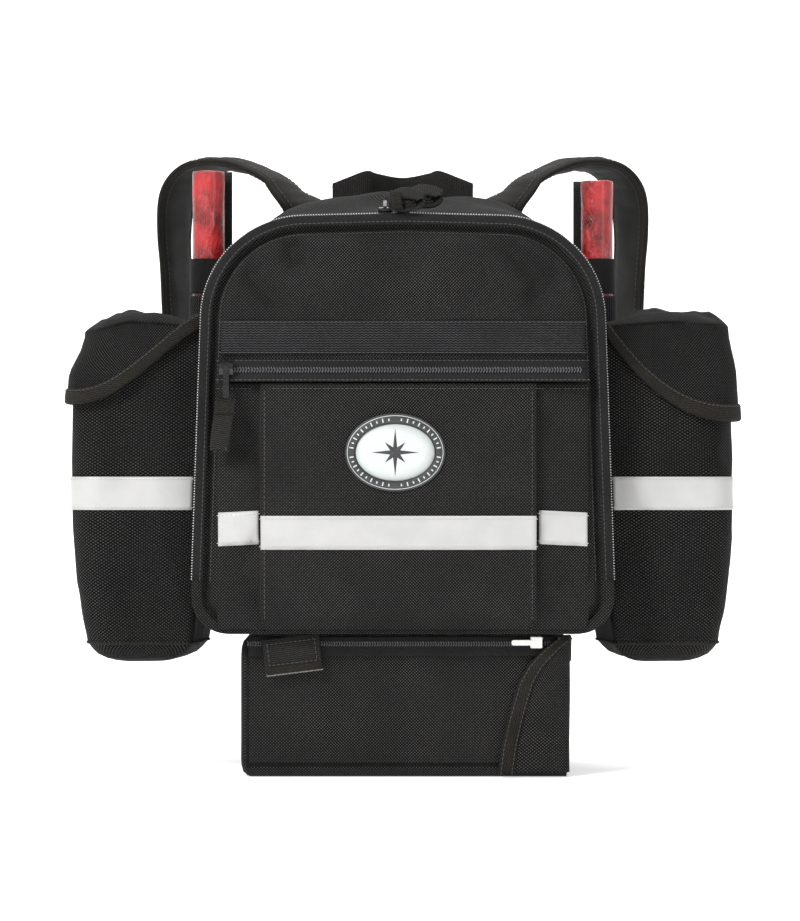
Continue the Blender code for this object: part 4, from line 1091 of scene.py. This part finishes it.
def pouch_flap(side, name):
    """The hood over a pouch: crumpled on top, hanging over its outer corners, with a bound lower edge."""
    body = "flap_" + name
    seed = 41 if side < 0 else 57

    def crumpled(ring, inset):
        free = ramp(np.abs(ring[:, 0]), 0.158, 0.185)
        inside = min(1.0, inset / 0.012)
        lift = 0.0085 * inside * free * (0.55 + 1.1 * np.maximum(0, wobble(ring, 24, seed)))
        lift = lift - 0.0058 * inside * free * np.abs(wobble(ring, 38, seed + 1))
        ring = ring.copy()
        ring[:, 2] += lift + 0.001 * free * wobble(ring, 70, seed + 2)
        return ring

    def skirt_ring(up, out=0.0):
        ring = flap_ring(side, 0.0, lambda x: np.minimum(flap_edge(x) + up, crown(x, 0.3400)))
        whole = crown(ring[:, 0], 0.3400) - flap_edge(ring[:, 0])
        share = np.clip(up / np.maximum(whole, 1e-4), 0, 1)
        free = ramp(np.abs(ring[:, 0]), 0.160, 0.200)
        flare = 0.0020 * (1 - share) ** 2 + 0.0016 * wobble(ring * (1, 1, 0.6), 34, seed + 3)
        return swollen(ring, np.maximum(flare, -0.0006) * free + out, side)

    skirt = [skirt_ring(up) for up in (0.0, 0.003, 0.006, 0.009, 0.013, 0.018, 0.024, 0.031, 0.039, 0.048,
                                       0.058, 0.068, 0.085)]
    top = []
    for inset, z in ((0.0012, 0.3417), (0.0035, 0.3430), (0.0075, 0.3442), (0.013, 0.3450), (0.020, 0.3452),
                     (0.027, 0.3452), (0.034, 0.3450), (0.0405, 0.3448)):
        top.append(crumpled(flap_ring(side, inset, lambda x: crown(x, z)), inset))
    under = []
    for inset, z in ((0.034, 0.3408), (0.020, 0.3405), (0.008, 0.3402), (0.0035, 0.3400)):
        under.append(flap_ring(side, inset, lambda x: crown(x, z)))
    inside = []
    for share in (0.85, 0.5, 0.2, 0.0):
        ring = flap_ring(side, 0.0020, lambda x: flap_edge(x) + (crown(x, 0.3390) - flap_edge(x)) * share)
        inside.append(ring)
    grid = np.array([*under, *inside, *skirt, *top])
    lengths = np.concatenate([[0], np.cumsum(np.linalg.norm(np.diff(skirt[6], axis=0), axis=1))])
    uv = np.zeros((*grid.shape[:2], 2))
    uv[..., 0] = lengths
    uv[..., 1] = grid[..., 2]
    for i in list(range(len(under))) + list(range(len(grid) - len(top), len(grid))):
        uv[i] = grid[i][:, :2]
    grid = slumped(grid, side)
    rings("pouch_flap_" + name + "_cloth", grid, "nylon_shaded", body, uv, flip=side > 0,
          slot="ballistic_nylon", stands_for=["pouch_flap_" + name])

    profile = ((0.0125, 0.0004), (0.0120, 0.0013), (0.0085, 0.0016), (0.0045, 0.0017), (0.0005, 0.0015),
               (-0.0010, 0.0))
    rows = []
    for up, lift in profile:
        ring = skirt_ring(max(up, 0.0), lift)
        ring[:, 2] = flap_edge(ring[:, 0]) + up
        rows.append(ring)
    keep = np.abs(rows[0][:, 0]) > 0.1530
    grid = slumped(np.array(rows)[:, keep], side)
    flip = normals_of(grid)[2, 20] @ ((grid[2, 20] - (side * 0.19, -0.014, 0)) * (1, 1, 0)) < 0
    shell("pouch_flap_binding_" + name, grid, 0.0012, "binding", body, flip=flip, slot="ballistic_nylon")
    out = normals_of(grid) * (-1 if flip else 1)
    stitched("pouch_flap_stitch_" + name, grid[1] * 0.6 + grid[2] * 0.4, out[2], body, lift=0.0003)


# ------------------------------------------------------------------------------------------ flares


def flare(side, name):
    """A red paper flare, its closed sleeve with a backing strip, and the elastic loop above."""
    low, high = (np.array(corner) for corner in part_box("flare_" + name))
    high[2] += 0.0075 if side < 0 else 0.0
    flare_top = high[2]
    cx, cy, r = (low[0] + high[0]) / 2, (low[1] + high[1]) / 2, (high[0] - low[0]) / 2
    turn = np.linspace(0, 2 * math.pi, 49)[:-1]
    rows = []
    heights = np.concatenate([[low[2], low[2] + 0.0015], np.linspace(low[2] + 0.02, high[2] - 0.02, 44)])
    for z in heights:
        ring = np.stack([cx + r * np.cos(turn), cy + r * np.sin(turn), np.full(48, z)], axis=1)
        dent = 0.0006 * wobble(ring * (1, 1, 0.5), 60, 3 + side) - 0.0004
        radial = np.stack([np.cos(turn), np.sin(turn), np.zeros(48)], axis=1)
        rows.append(ring + radial * np.minimum(dent, 0)[:, None])
    for drop, share in ((0.0050, 1.0), (0.0016, 0.995), (0.0004, 0.97), (0.0, 0.92), (0.0003, 0.86),
                        (0.0026, 0.80), (0.0032, 0.45)):
        ring = np.stack([cx + r * share * np.cos(turn), cy + r * share * np.sin(turn),
                         np.full(48, high[2] - drop)], axis=1)
        ring[:, 2] += 0.0006 * wobble(ring, 90, 4 + side) * (drop < 0.004)
        rows.append(ring)
    rings("flare_" + name + "_tube", np.array(rows), "paper", "flare_" + name, slot="flare_paper",
          stands_for=["flare_" + name], flip=True)

    low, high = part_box("flare_elastic_" + name)
    half = r + 0.0016
    loop = rounded_box((cx - half, cy - half), (cx + half, cy + half - 0.0004), 0.012, 8, 0.005, 4)
    loop = resample(loop, 80, closed=True)
    hoop(f"flare_loop_{name}", loop, low[2], high[2], 0.0014, "elastic", "pack", "binding",
         ["flare_elastic_" + name])

    low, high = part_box("flare_sleeve_" + name)
    top = 0.3695
    outer = rounded_box((cx - half - 0.0006, cy - half - 0.0006), (cx + half + 0.0006, cy + half),
                        0.010, 8, 0.005, 4)
    outer = resample(outer, 80, closed=True)
    grid = []
    for z in (low[2], low[2] + 0.0012, *np.linspace(low[2] + 0.01, top - 0.002, 22), top):
        ring = at_z(outer, z)
        grid.append(swollen(ring, 0.0006 * wobble(ring, 50, 8 + side) - 0.0002, 1))
    inner = rounded_box((cx - half + 0.0009, cy - half + 0.0009), (cx + half - 0.0009, cy + half - 0.0018),
                        0.010, 8, 0.005, 4)
    inner = resample(inner, 80, closed=True)
    for z in (top, top - 0.02, low[2] + 0.003):
        grid.append(at_z(inner, z))
    rings("flare_sleeve_" + name + "_cloth", np.array(grid), "loop_tape", "pack", slot="webbing",
          flip=False, stands_for=["flare_sleeve_" + name])
    strip_x = cx - side * 0.0022
    path = np.array([(strip_x, cy + half + 0.0013, z) for z in np.linspace(low[2], flare_top + 0.0012, 40)])
    sweep("flare_backing_" + name, path, np.tile(RIGHT, (len(path), 1)), flat_section(0.0315, 0.0018),
          "webbing", "pack", slot="webbing")
    levels = (low[2] + 0.004, 0.30, 0.366)
    near = np.array([(side * (bag_side(cy + half, z) - 0.0005), cy + half + 0.0004, z) for z in levels])
    far = near.copy()
    far[:, 0] = cx - side * (half - 0.002)
    tab = np.linspace(near, far, 6).transpose(1, 0, 2)
    shell("flare_sleeve_web_" + name, resample_rows(tab, 24), 0.0014, "webbing", "pack", flip=side > 0,
          slot="webbing")


def resample_rows(grid, count):
    return np.stack([resample(grid[:, j], count) for j in range(grid.shape[1])], axis=1)


def hoop(name, loop, low, high, thick, material, body, slot, nodes):
    """A flat band of cloth round a closed plan line, standing from low to high."""
    outer = [at_z(loop, z) for z in (low, low + 0.0008, *np.linspace(low + 0.003, high - 0.003, 8),
                                     high - 0.0008, high)]
    inner_line = loop - unit(np.stack([np.gradient(loop[:, 1]), -np.gradient(loop[:, 0])], axis=1)) * thick
    inner = [at_z(inner_line, z) for z in (high, (low + high) / 2, low)]
    return rings(name, np.array(outer + inner), material, body, joined=True, slot=slot, stands_for=nodes)


# ------------------------------------------------------------------------------------------ the shelter pouch


def shelter_pouch():
    """The flat pouch underneath: soft along its faces, open at its right end under the flap."""
    low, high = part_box("shelter_pouch")
    half_y = (high[1] - low[1]) / 2
    section = resample(rounded_box((-half_y, 0.0), (half_y, high[2]), 0.008, 6, 0.012), 150, closed=True)
    outer = []
    columns = np.linspace(high[0], low[0] + 0.008, 56)
    for x in columns:
        ring = np.stack([np.full(150, x), section[:, 0], section[:, 1]], axis=1)
        outer.append(shelter_skin(ring))
    ends = []
    for inset, step in ((0.0008, 0.0045), (0.0030, 0.0015), (0.0075, 0.0), (0.020, -0.0006),
                        (0.036, -0.0008)):
        shape = rounded_box((-half_y + inset, inset), (half_y - inset, high[2] - inset), 0.010, 6, 0.012)
        shape = resample(shape, 150, closed=True)
        ring = np.stack([np.full(150, low[0] + step + 0.0012), shape[:, 0], shape[:, 1]], axis=1)
        ends.append(ring)
    inner = []
    for x in (high[0], 0.06, -0.02, low[0] + 0.006):
        shape = rounded_box((-half_y + 0.003, 0.003), (half_y - 0.003, high[2] - 0.003), 0.008, 6, 0.010)
        shape = resample(shape, 150, closed=True)
        inner.append(np.stack([np.full(150, x), shape[:, 0], shape[:, 1]], axis=1))
    grid = np.array([*reversed(ends), *reversed(outer), *inner])
    lengths = np.concatenate([[0], np.cumsum(np.linalg.norm(np.diff(section, axis=0), axis=1))])
    uv = np.zeros((*grid.shape[:2], 2))
    uv[..., 0] = grid[..., 0]
    uv[..., 1] = lengths
    for i in range(len(ends)):
        uv[i] = grid[i][:, 1:]
    rings("shelter_pouch_cloth", grid, "nylon", "pack", uv, slot="ballistic_nylon",
          stands_for=["shelter_pouch"])


def shelter_skin(ring):
    """The pouch's cloth: flat underneath, with slack folds down its faces."""
    upright = ramp(ring[:, 2], 0.001, 0.02) * ramp(0.1052 - ring[:, 2], 0.0, 0.02)
    seam = ramp(0.124 - np.abs(ring[:, 0]), 0.0, 0.02)
    slack = 0.0022 * wobble(ring * (1, 1, 0.6), 20, 61) + 0.0010 * wobble(ring, 52, 62)
    slack = slack - 0.0018 * np.exp(-(((ring[:, 2] - 0.060 - 0.05 * ring[:,
            0]) / 0.010) ** 2)) * ramp(-ring[:, 0], -0.05, 0.06)
    move = np.clip(slack - 0.0008, -0.0045, 0.0) * upright * seam
    found = ring.copy()
    found[:, 1] += np.sign(ring[:, 1]) * move
    return found


def flap_reach(z):
    """How far along the front the shelter flap comes: its edge leans to the right as it rises."""
    return np.interp(z, [0.003, 0.022, 0.044, 0.0707, 0.0842, 0.0971, 0.106],
                     [0.0728, 0.0752, 0.0800, 0.0876, 0.0950, 0.1070, 0.1180])


def flap_front(x, z):
    """Depth of the shelter flap's front leaf: it stands out over the zip's end at its top."""
    points = np.stack([x, np.zeros_like(x), z], axis=-1)
    wave = 0.0016 * wobble(points, 24, 71) + 0.0007 * wobble(points, 60, 72)
    return -0.0749 - 0.0024 * ramp(z, 0.070, 0.094) - np.maximum(wave, -0.0004)


def shelter_flap():
    """A flap folded up from the pouch's foot over its open end and round to its front, with a bound edge."""
    low, corner_top, rear_top = 0.0035, 0.1050, 0.0885
    side_x, rear_y, r = 0.1262, 0.0712, 0.009
    rows = []
    for t in np.linspace(0, 1, 40):
        plan = []
        for y in np.linspace(rear_y, -0.0655, 22):
            top = rear_top + (corner_top - rear_top) * ramp(-y, 0.045, 0.068)
            z = low + (top - low) * t
            ripple = 0.0014 * noise.noise(Vector((3.0, y * 24, z * 17))) + 0.0004
            plan.append((side_x + max(ripple, -0.0003), y, z))
        z = low + (corner_top - low) * t
        front = float(flap_front(np.array([0.118]), np.array([z]))[0])
        for a in np.linspace(0.25, math.pi / 2, 6):
            plan.append((side_x - r * (1 - math.cos(a)), front + r * (1 - math.sin(a)), z))
        reach = float(flap_reach(z))
        xs = np.linspace(side_x - r, min(reach, side_x - r - 0.0005), 22)[1:]
        for x, y in zip(xs, flap_front(xs, np.full(21, z))):
            plan.append((x, y, z))
        rows.append(plan)
    grid = np.array(rows)
    flip = normals_of(grid)[10, 5, 0] < 0
    sheet = shell("shelter_flap_cloth", grid, 0.0014, "nylon", "shelter_flap", slot="ballistic_nylon",
                  stands_for=["shelter_flap"], flip=flip)
    edge = grid[:, -1]
    band = []
    for across in (-0.0012, 0.0, 0.0035, 0.0075, 0.0108, 0.0114):
        xs = edge[:, 0] + across
        lift = 0.0002 if across in (-0.0012, 0.0114) else 0.0013
        band.append(np.stack([xs, flap_front(xs, edge[:, 2]) - lift, edge[:, 2]], axis=1))
    band = np.array(band)
    flip = normals_of(band)[2, 20, 1] > 0
    bind = shell("shelter_flap_binding", band, 0.0012, "binding", "shelter_flap", flip=flip,
                 slot="ballistic_nylon")
    for place, row in (("outer", 1), ("inner", 4)):
        stitched("shelter_flap_stitch_" + place, band[row] + RIGHT * (0.0012 if row == 1 else -0.0012),
                 -BACK, "shelter_flap", lift=0.0002)
    rim = resample(grid[-1], 60)
    sweep("shelter_flap_hem", rim, np.tile(UP, (60, 1)), flat_section(0.0058, 0.0030, 3), "binding",
          "shelter_flap", slot="ballistic_nylon")


def shelter_tab():
    """A doubled webbing tab with a box of stitching and a frayed end."""
    top = np.array((-0.0850, -0.0787, 0.1068))
    tilt = math.radians(7)
    down = np.array((math.sin(tilt), 0.0, -math.cos(tilt)))
    across = np.array((math.cos(tilt), 0.0, math.sin(tilt)))
    path = np.array([top + down * s - BACK * 0.0012 * math.sin(s * 110) for s in np.linspace(0, 0.0270,
            24)])
    sweep("shelter_tab_web", path, across, flat_section(0.043, 0.0022, 6), "webbing", "shelter_tab",
          slot="webbing", stands_for=["shelter_tab"])
    lip = path[-6:] - BACK * 0.0009
    sweep("shelter_tab_lip", lip, across, flat_section(0.0415, 0.0012, 6), "binding", "shelter_tab",
          slot="webbing")
    box = []
    for u, s in ((-0.018, 0.004), (0.018, 0.004), (0.018, 0.020), (-0.018, 0.020), (-0.018, 0.004)):
        box.append(top + across * u + down * s - BACK * 0.0028)
    line = np.concatenate([np.linspace(a, b, 12)[:-1] for a, b in zip(box, box[1:])])
    stitched("shelter_tab_stitch", line, -BACK, "shelter_tab")
    fray = np.array([path[-1] + across * u for u in np.linspace(-0.0210, 0.0210, 30)])
    beads("shelter_tab_fray", fray, BACK * -1.0, 0.0009, (0.0005, 0.0022, 0.0016), "thread_pale",
          "shelter_tab", slant=0.2, slot="webbing")


def bottom_zip():
    low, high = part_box("bottom_zip_tape")
    z, y = (low[2] + high[2]) / 2, (low[1] + high[1]) / 2
    xs = np.linspace(low[0], high[0], 50)
    path = np.stack([xs, np.full(50, y), np.full(50, z)], axis=1)
    sweep("bottom_zip_cloth", path, np.tile(UP, (50, 1)), flat_section(high[2] - low[2], 0.0014),
          "zip_tape", "pack", slot="zip_tape", stands_for=["bottom_zip_tape"])
    for name, offset in (("upper", 0.0030), ("lower", 0.0012)):
        line = path + UP * offset - BACK * 0.0011
        beads("bottom_zip_coil_" + name, line, -BACK, 0.0019, (0.0009, 0.0022, 0.0010), "coil", "pack",
              slot="zip_tape", slant=0.5 if offset > 0.002 else -0.5)


# ------------------------------------------------------------------------------------------ harness


def padded_section(width, thick, columns=10):
    """A pad's section: crowned faces that pull in to thin sewn edges."""
    half = width / 2
    upper, lower = [], []
    for k in range(columns + 1):
        u = half * math.cos(math.pi * k / columns)
        share = 1 - (abs(u) / half) ** 3.2
        upper.append((u, 0.0011 + (thick / 2 - 0.0011) * share))
        lower.append((-u, -(0.0011 + (thick / 2 - 0.0011) * share)))
    return upper + lower


def strap_route(side):
    stations = [
        ((0.0860, 0.0920, 0.4330), (1.00, 0.00)),
        ((0.0855, 0.0965, 0.4450), (0.75, 0.66)),
        ((0.0930, 0.1030, 0.4570), (0.42, 0.91)),
        ((0.1050, 0.1110, 0.4680), (0.36, 0.93)),
        ((0.1270, 0.1240, 0.4785), (0.36, 0.93)),
        ((0.1470, 0.1350, 0.4820), (0.38, 0.92)),
        ((0.1655, 0.1460, 0.4795), (0.40, 0.92)),
        ((0.1790, 0.1560, 0.4690), (0.40, 0.92)),
        ((0.1865, 0.1650, 0.4520), (0.38, 0.92)),
        ((0.1890, 0.1715, 0.4280), (0.36, 0.93)),
        ((0.1880, 0.1745, 0.4000), (0.34, 0.94)),
        ((0.1855, 0.1725, 0.3650), (0.36, 0.93)),
        ((0.1810, 0.1645, 0.3250), (0.42, 0.91)),
        ((0.1765, 0.1515, 0.2870), (0.52, 0.85)),
        ((0.1715, 0.1360, 0.2500), (0.66, 0.75)),
        ((0.1680, 0.1250, 0.2250), (0.75, 0.66)),
    ]
    path = np.array([(side * x, y, z) for (x, y, z), _ in stations])
    across = np.array([(u, -side * v, 0.0) for _, (u, v) in stations])
    both = curve_through(np.concatenate([path, across], axis=1), 9)
    return both[:, :3], unit(both[:, 3:])


def shoulder_strap(side, name):
    body = "strap_" + name
    path, across = strap_route(side)
    count = len(path)
    width = np.full(count, 1.0)
    taper = np.clip((np.arange(count) - (count - 27)) / 27, 0, 1)
    width -= 0.40 * taper**1.3
    start = ramp(np.arange(count) * 1.0, 0, 18)
    width -= 0.45 * (1 - start)
    path = path - RIGHT * (side * 0.010 * (1 - start))[:, None]
    section = np.array(padded_section(0.056, 0.010, 14))
    side_dir, out, _ = frames(path, across)
    grid = path[:, None] + side_dir[:, None] * section[None, :, :1] * width[:, None, None]
    grid = grid + out[:, None] * section[None, :, 1:]
    length = np.concatenate([[0], np.cumsum(np.linalg.norm(np.diff(path, axis=0), axis=1))])
    middle = 1 - (np.abs(section[:, 0]) / 0.028) ** 2
    buckle = np.sin(length * 2 * math.pi / 0.034 + 1.2 * np.sin(length * 60)) ** 3
    creases = 0.0009 * buckle[:, None] * middle[None] + 0.0012 * wobble(grid, 34, 80 + side) * middle[None]
    grid = grid + out[:, None] * np.sign(section[None, :, 1:]) * creases[..., None]
    uv = np.zeros((*grid.shape[:2], 2))
    uv[..., 0] = section[None, :, 0] * width[:, None]
    uv[..., 1] = length[:, None]
    strap = rings("shoulder_strap_" + name + "_pad", grid, "nylon_fine", body, uv, flip=True,
                  slot="pack_cloth", stands_for=["shoulder_strap_" + name])
    for edge in (-1, 1):
        line = path + side_dir * (edge * 0.0276 * width)[:, None]
        label = "inner" if edge < 0 else "outer"
        sweep(f"strap_binding_{name}_{label}", line[::2], side_dir[::2], flat_section(0.0066, 0.0038, 3),
              "binding", body, slot="pack_cloth")
        inner = path + side_dir * (edge * 0.0226 * width)[:, None]
        for face in (-1, 1):
            stitched(f"strap_stitch_{name}_{label}_{'top' if face > 0 else 'under'}",
                     inner + out * face * 0.0033, out * face, body, pitch=0.0042, lift=0.0002)


LOW_ANCHOR = (0.140, 0.0865, 0.119)
ADJUSTER_WIDTH = 0.025


def adjuster(side, name):
    """Webbing from the bag's foot, round the ladder lock's bar and down as a free tail with a hemmed end."""
    path, across = strap_route(side)
    end, wide = path[-1], across[-1]
    low = np.array(LOW_ANCHOR) * (side, 1, 1)
    down = unit(low - end)
    wide = unit(wide - down * (wide @ down))
    out = unit(np.cross(down, wide))
    out = -out if out[1] > 0 else out
    bar = end + down * 0.0255
    turn = np.radians((90, 60, 30, 0, -30, -60, -90))
    around = [bar + out * 0.0046 * math.sin(a) - down * 0.0046 * math.cos(a) for a in turn]
    tail = [bar - out * (0.0062 + 0.0004 * k) + down * (0.010 + 0.008 * k) for k in range(1, 7)]
    lower = [low + (bar + out * 0.0046 + down * 0.016 - low) * t for t in np.linspace(0, 1, 10)]
    route = np.array([*lower, *around, *tail])
    spread = np.array([RIGHT] + [wide] * (len(route) - 1))
    share = ramp(np.arange(10) * 1.0, 0, 9)[:, None]
    spread[:10] = unit(RIGHT * (1 - share) + wide * share * np.sign(wide[0]))
    if wide[0] < 0:
        spread[10:] = -spread[10:]
    sweep("strap_web_" + name, route, spread, flat_section(ADJUSTER_WIDTH, 0.0016), "webbing",
          "strap_" + name, slot="webbing", stands_for=["strap_webbing_" + name])
    hem = np.array([tail[-1] - down * 0.0085 - out * 0.0013, tail[-1] - down * 0.004 - out * 0.0015,
                    tail[-1] - out * 0.0015])
    sweep("strap_web_hem_" + name, hem, np.tile(wide, (3, 1)), flat_section(ADJUSTER_WIDTH, 0.0013),
          "webbing", "strap_" + name, slot="webbing")


def haul_handle():
    half = [(0.0565, 0.0851, 0.4470), (0.0440, 0.0856, 0.4520), (0.0290, 0.0880, 0.4575),
            (0.0200, 0.0985, 0.4560)]
    points = [(-x, y, z) for x, y, z in half] + [(0, 0.1085, 0.4535)] + [(x, y, z) for x, y,
            z in reversed(half)]
    path = curve_through(points, 8)
    section = np.array(flat_section(0.030, 0.0022, 6))
    _, out, _ = frames(path, UP)
    grid = path[:, None] + UP * section[None, :, :1] + out[:, None] * section[None, :, 1:]
    rings("haul_handle_web", grid, "webbing", "haul_handle", flip=True, slot="webbing",
          stands_for=["haul_handle"])
    _, out, _ = frames(path, UP)
    for name, offset in (("upper", 0.0125), ("lower", -0.0125)):
        stitched("haul_handle_stitch_" + name, path + UP * offset - out * 0.0012, -out, "haul_handle")


def webbing_part(name, path, across, width, thick, body, node):
    return sweep(name, path, across, flat_section(width, thick, 5), "webbing", body, slot="webbing",
                 stands_for=[node])


def pull_tabs():
    """Webbing zip pulls: a flattened loop of tape through each bail, bound by a wrap of the same tape."""
    for name in ("left", "right"):
        low, high = (np.array(corner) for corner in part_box("main_pull_tab_" + name))
        y, z, body = (low[1] + high[1]) / 2, low[2] + 0.0006, "main_pull_" + name
        loop = [(0.0006, 0.0042), (0.0100, 0.0098), (0.0200, 0.0094), (0.0264, 0.0062), (0.0218, 0.0014),
                (0.0110, 0.0006), (0.0016, 0.0022)]
        path = curve_through([(low[0] + x, y, z + up) for x, up in loop], 8)
        lean = np.tile(BACK * 0.62 + UP * 0.78, (len(path), 1))
        sweep("main_pull_web_" + name, path, lean, flat_section(0.0112, 0.0021, 4), "webbing", body,
              slot="webbing", stands_for=["main_pull_tab_" + name])
        inner = curve_through([(low[0] + x, y + 0.0006, z + up) for x, up in
                               ((0.0030, 0.0046), (0.0120, 0.0068), (0.0205, 0.0052), (0.0120, 0.0032))], 8)
        lean = np.tile(BACK * 0.5 + UP * 0.86, (len(inner), 1))
        sweep("main_pull_fold_" + name, inner, lean, flat_section(0.0104, 0.0020, 4), "webbing", body,
              slot="webbing")
        plan = rounded_box((y - 0.0064, z - 0.0012), (y + 0.0064, z + 0.0112), 0.002, 4)
        ring = resample(plan, 48, closed=True)
        wrap = np.stack([np.full(48, low[0] + 0.0075), ring[:, 0], ring[:, 1]], axis=1)
        wrap[:, 0] += 0.0016 * np.sin(np.linspace(0, 2 * math.pi, 48, endpoint=False))
        sweep("main_pull_wrap_" + name, wrap, np.tile(RIGHT, (48, 1)), flat_section(0.0080, 0.0017, 3),
              "binding", body, joined=True, slot="webbing")
    low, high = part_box("pocket_pull_tab")
    x = (low[0] + high[0]) / 2
    loop = [(0.0, 0.0006, 0.0), (-0.0012, -0.0022, -0.010), (-0.0034, -0.0030, -0.024),
            (-0.0046, -0.0012, -0.0350), (-0.0040, 0.0006, -0.0365), (-0.0030, 0.0014, -0.024),
            (-0.0010, 0.0014, -0.008)]
    path = curve_through([(x + dx, -0.1078 + dy, high[2] + dz) for dx, dy, dz in loop], 8)
    sweep("pocket_pull_web", path, np.tile(RIGHT, (len(path), 1)), flat_section(0.0145, 0.0016, 4),
          "webbing", "pocket_pull", slot="webbing", stands_for=["pocket_pull_tab"])
    wrap = [(x - 0.0008, -0.1088 - 0.0024, z) for z in np.linspace(high[2] - 0.0030, high[2] - 0.0110, 6)]
    sweep("pocket_pull_wrap", np.array(wrap), np.tile(RIGHT, (6, 1)), flat_section(0.0150, 0.0024, 4),
          "binding", "pocket_pull", slot="webbing")


def pad(name, node, body, radius, swell, material, slot, channels=()):
    """A sewn pad: crowned both ways inside its box, with stitched channels across it."""
    low, high = (np.array(c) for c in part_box(node))
    middle = (low + high) / 2
    half = (high - low) / 2
    count = 160
    depth = [(0.0, 0.0), (0.0, 0.55), (0.0020, 0.85), (0.0060, 1.0)]
    depth += [(d, 1.0) for d in np.linspace(0.012, min(half[0], half[2]) - 0.004, 14)]
    faces = []
    for sign in (-1, 1):
        for inset, share in depth:
            r = max(0.003, radius - inset)
            plan = rounded_box((middle[0] - half[0] + inset, low[2] + inset),
                               (middle[0] + half[0] - inset, high[2] - inset), r, 6)
            ring = resample(plan, count, closed=True)
            crownness = 1 - math.exp(-inset / 0.010)
            y = middle[1] + sign * half[1] * share * (0.72 + 0.28 * crownness)
            ring3 = at_y(ring, y)
            if sign > 0:
                for z in channels:
                    ring3[:, 1] -= swell * np.exp(-(((ring3[:, 2] - z) / 0.004) ** 2)) * crownness
                ring3[:, 1] += 0.0010 * wobble(ring3, 30, 90) * crownness
            faces.append(ring3)
    n = len(depth)
    grid = np.array(list(reversed(faces[:n])) + faces[n:])
    uv = np.stack([grid[..., 0], grid[..., 2]], axis=-1)
    obj = rings(name, grid, material, body, uv, flip=True, slot=slot, stands_for=[node])
    return obj


def back():
    pad("back_pad_mesh", "back_pad", "pack", 0.022, 0.0045, "mesh", "spacer_mesh", (0.270, 0.322, 0.374))
    pad("lumbar_pad_mesh", "lumbar_pad", "pack", 0.016, 0.0030, "mesh", "spacer_mesh", (0.167,))
    for name in ("left", "right"):
        pad(f"belt_wing_{name}_pad", "belt_wing_" + name, "belt_" + name, 0.010, 0.0, "nylon_fine",
            "pack_cloth")
        low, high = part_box("belt_webbing_" + name)
        y, z = (low[1] + high[1]) / 2, (low[2] + high[2]) / 2
        path = np.array([(x, y, z) for x in np.linspace(low[0], high[0], 20)])
        webbing_part("belt_web_" + name, path, np.tile(UP, (20, 1)), high[2] - low[2], 0.0019,
                     "belt_" + name, "belt_webbing_" + name)
        low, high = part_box("sternum_webbing_" + name)
        x, y = (low[0] + high[0]) / 2, (low[1] + high[1]) / 2
        path = np.array([(x, y, z) for z in np.linspace(low[2], high[2], 24)])
        webbing_part("sternum_web_" + name, path, np.tile(RIGHT, (24, 1)), high[0] - low[0], 0.0016,
                     "sternum_" + name, "sternum_webbing_" + name)
    xs = np.linspace(-0.094, 0.094, 40)
    path = np.array([(x, 0.0814, 0.4330 - 1.6 * max(0, abs(x) - 0.055) ** 2 / 0.07) for x in xs])
    webbing_part("yoke_web", path, np.tile(UP, (40, 1)), 0.0145, 0.0020, "pack", "yoke_webbing")


def finish_cad_nodes():
    """Better materials on the CAD solids that stay."""
    finishes = {
        "frame_sheet": "sheet", "pocket_zip_slider": "enamel", "pocket_zip_pull": "enamel",
        "main_zip_slider_left": "enamel", "main_zip_slider_right": "enamel", "main_zip_bail_left": "nickel",
        "main_zip_bail_right": "nickel", "bottom_zip_slider": "nickel", "bottom_zip_pull": "nickel",
        "ladder_lock_left": "acetal", "ladder_lock_right": "acetal", "sternum_buckle_female": "acetal",
        "sternum_buckle_male": "acetal", "belt_buckle_female": "acetal", "belt_buckle_male": "acetal",
    }
    for node, material in finishes.items():
        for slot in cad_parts[node].material_slots:
            slot.material = MAT[material]


# ------------------------------------------------------------------------------------------ assembly


def main():
    camera()
    stage()
    materials()
    bag_body()
    lid_panel()
    main_zip()
    front_pocket()
    pocket_zip()
    loop_strip()
    badge()
    reflective_tapes()
    for side, name in ((-1, "left"), (1, "right")):
        side_pouch(side, name)
        pouch_flap(side, name)
        flare(side, name)
        shoulder_strap(side, name)
        adjuster(side, name)
    shelter_pouch()
    shelter_flap()
    shelter_tab()
    bottom_zip()
    haul_handle()
    pull_tabs()
    back()
    finish_cad_nodes()


main()
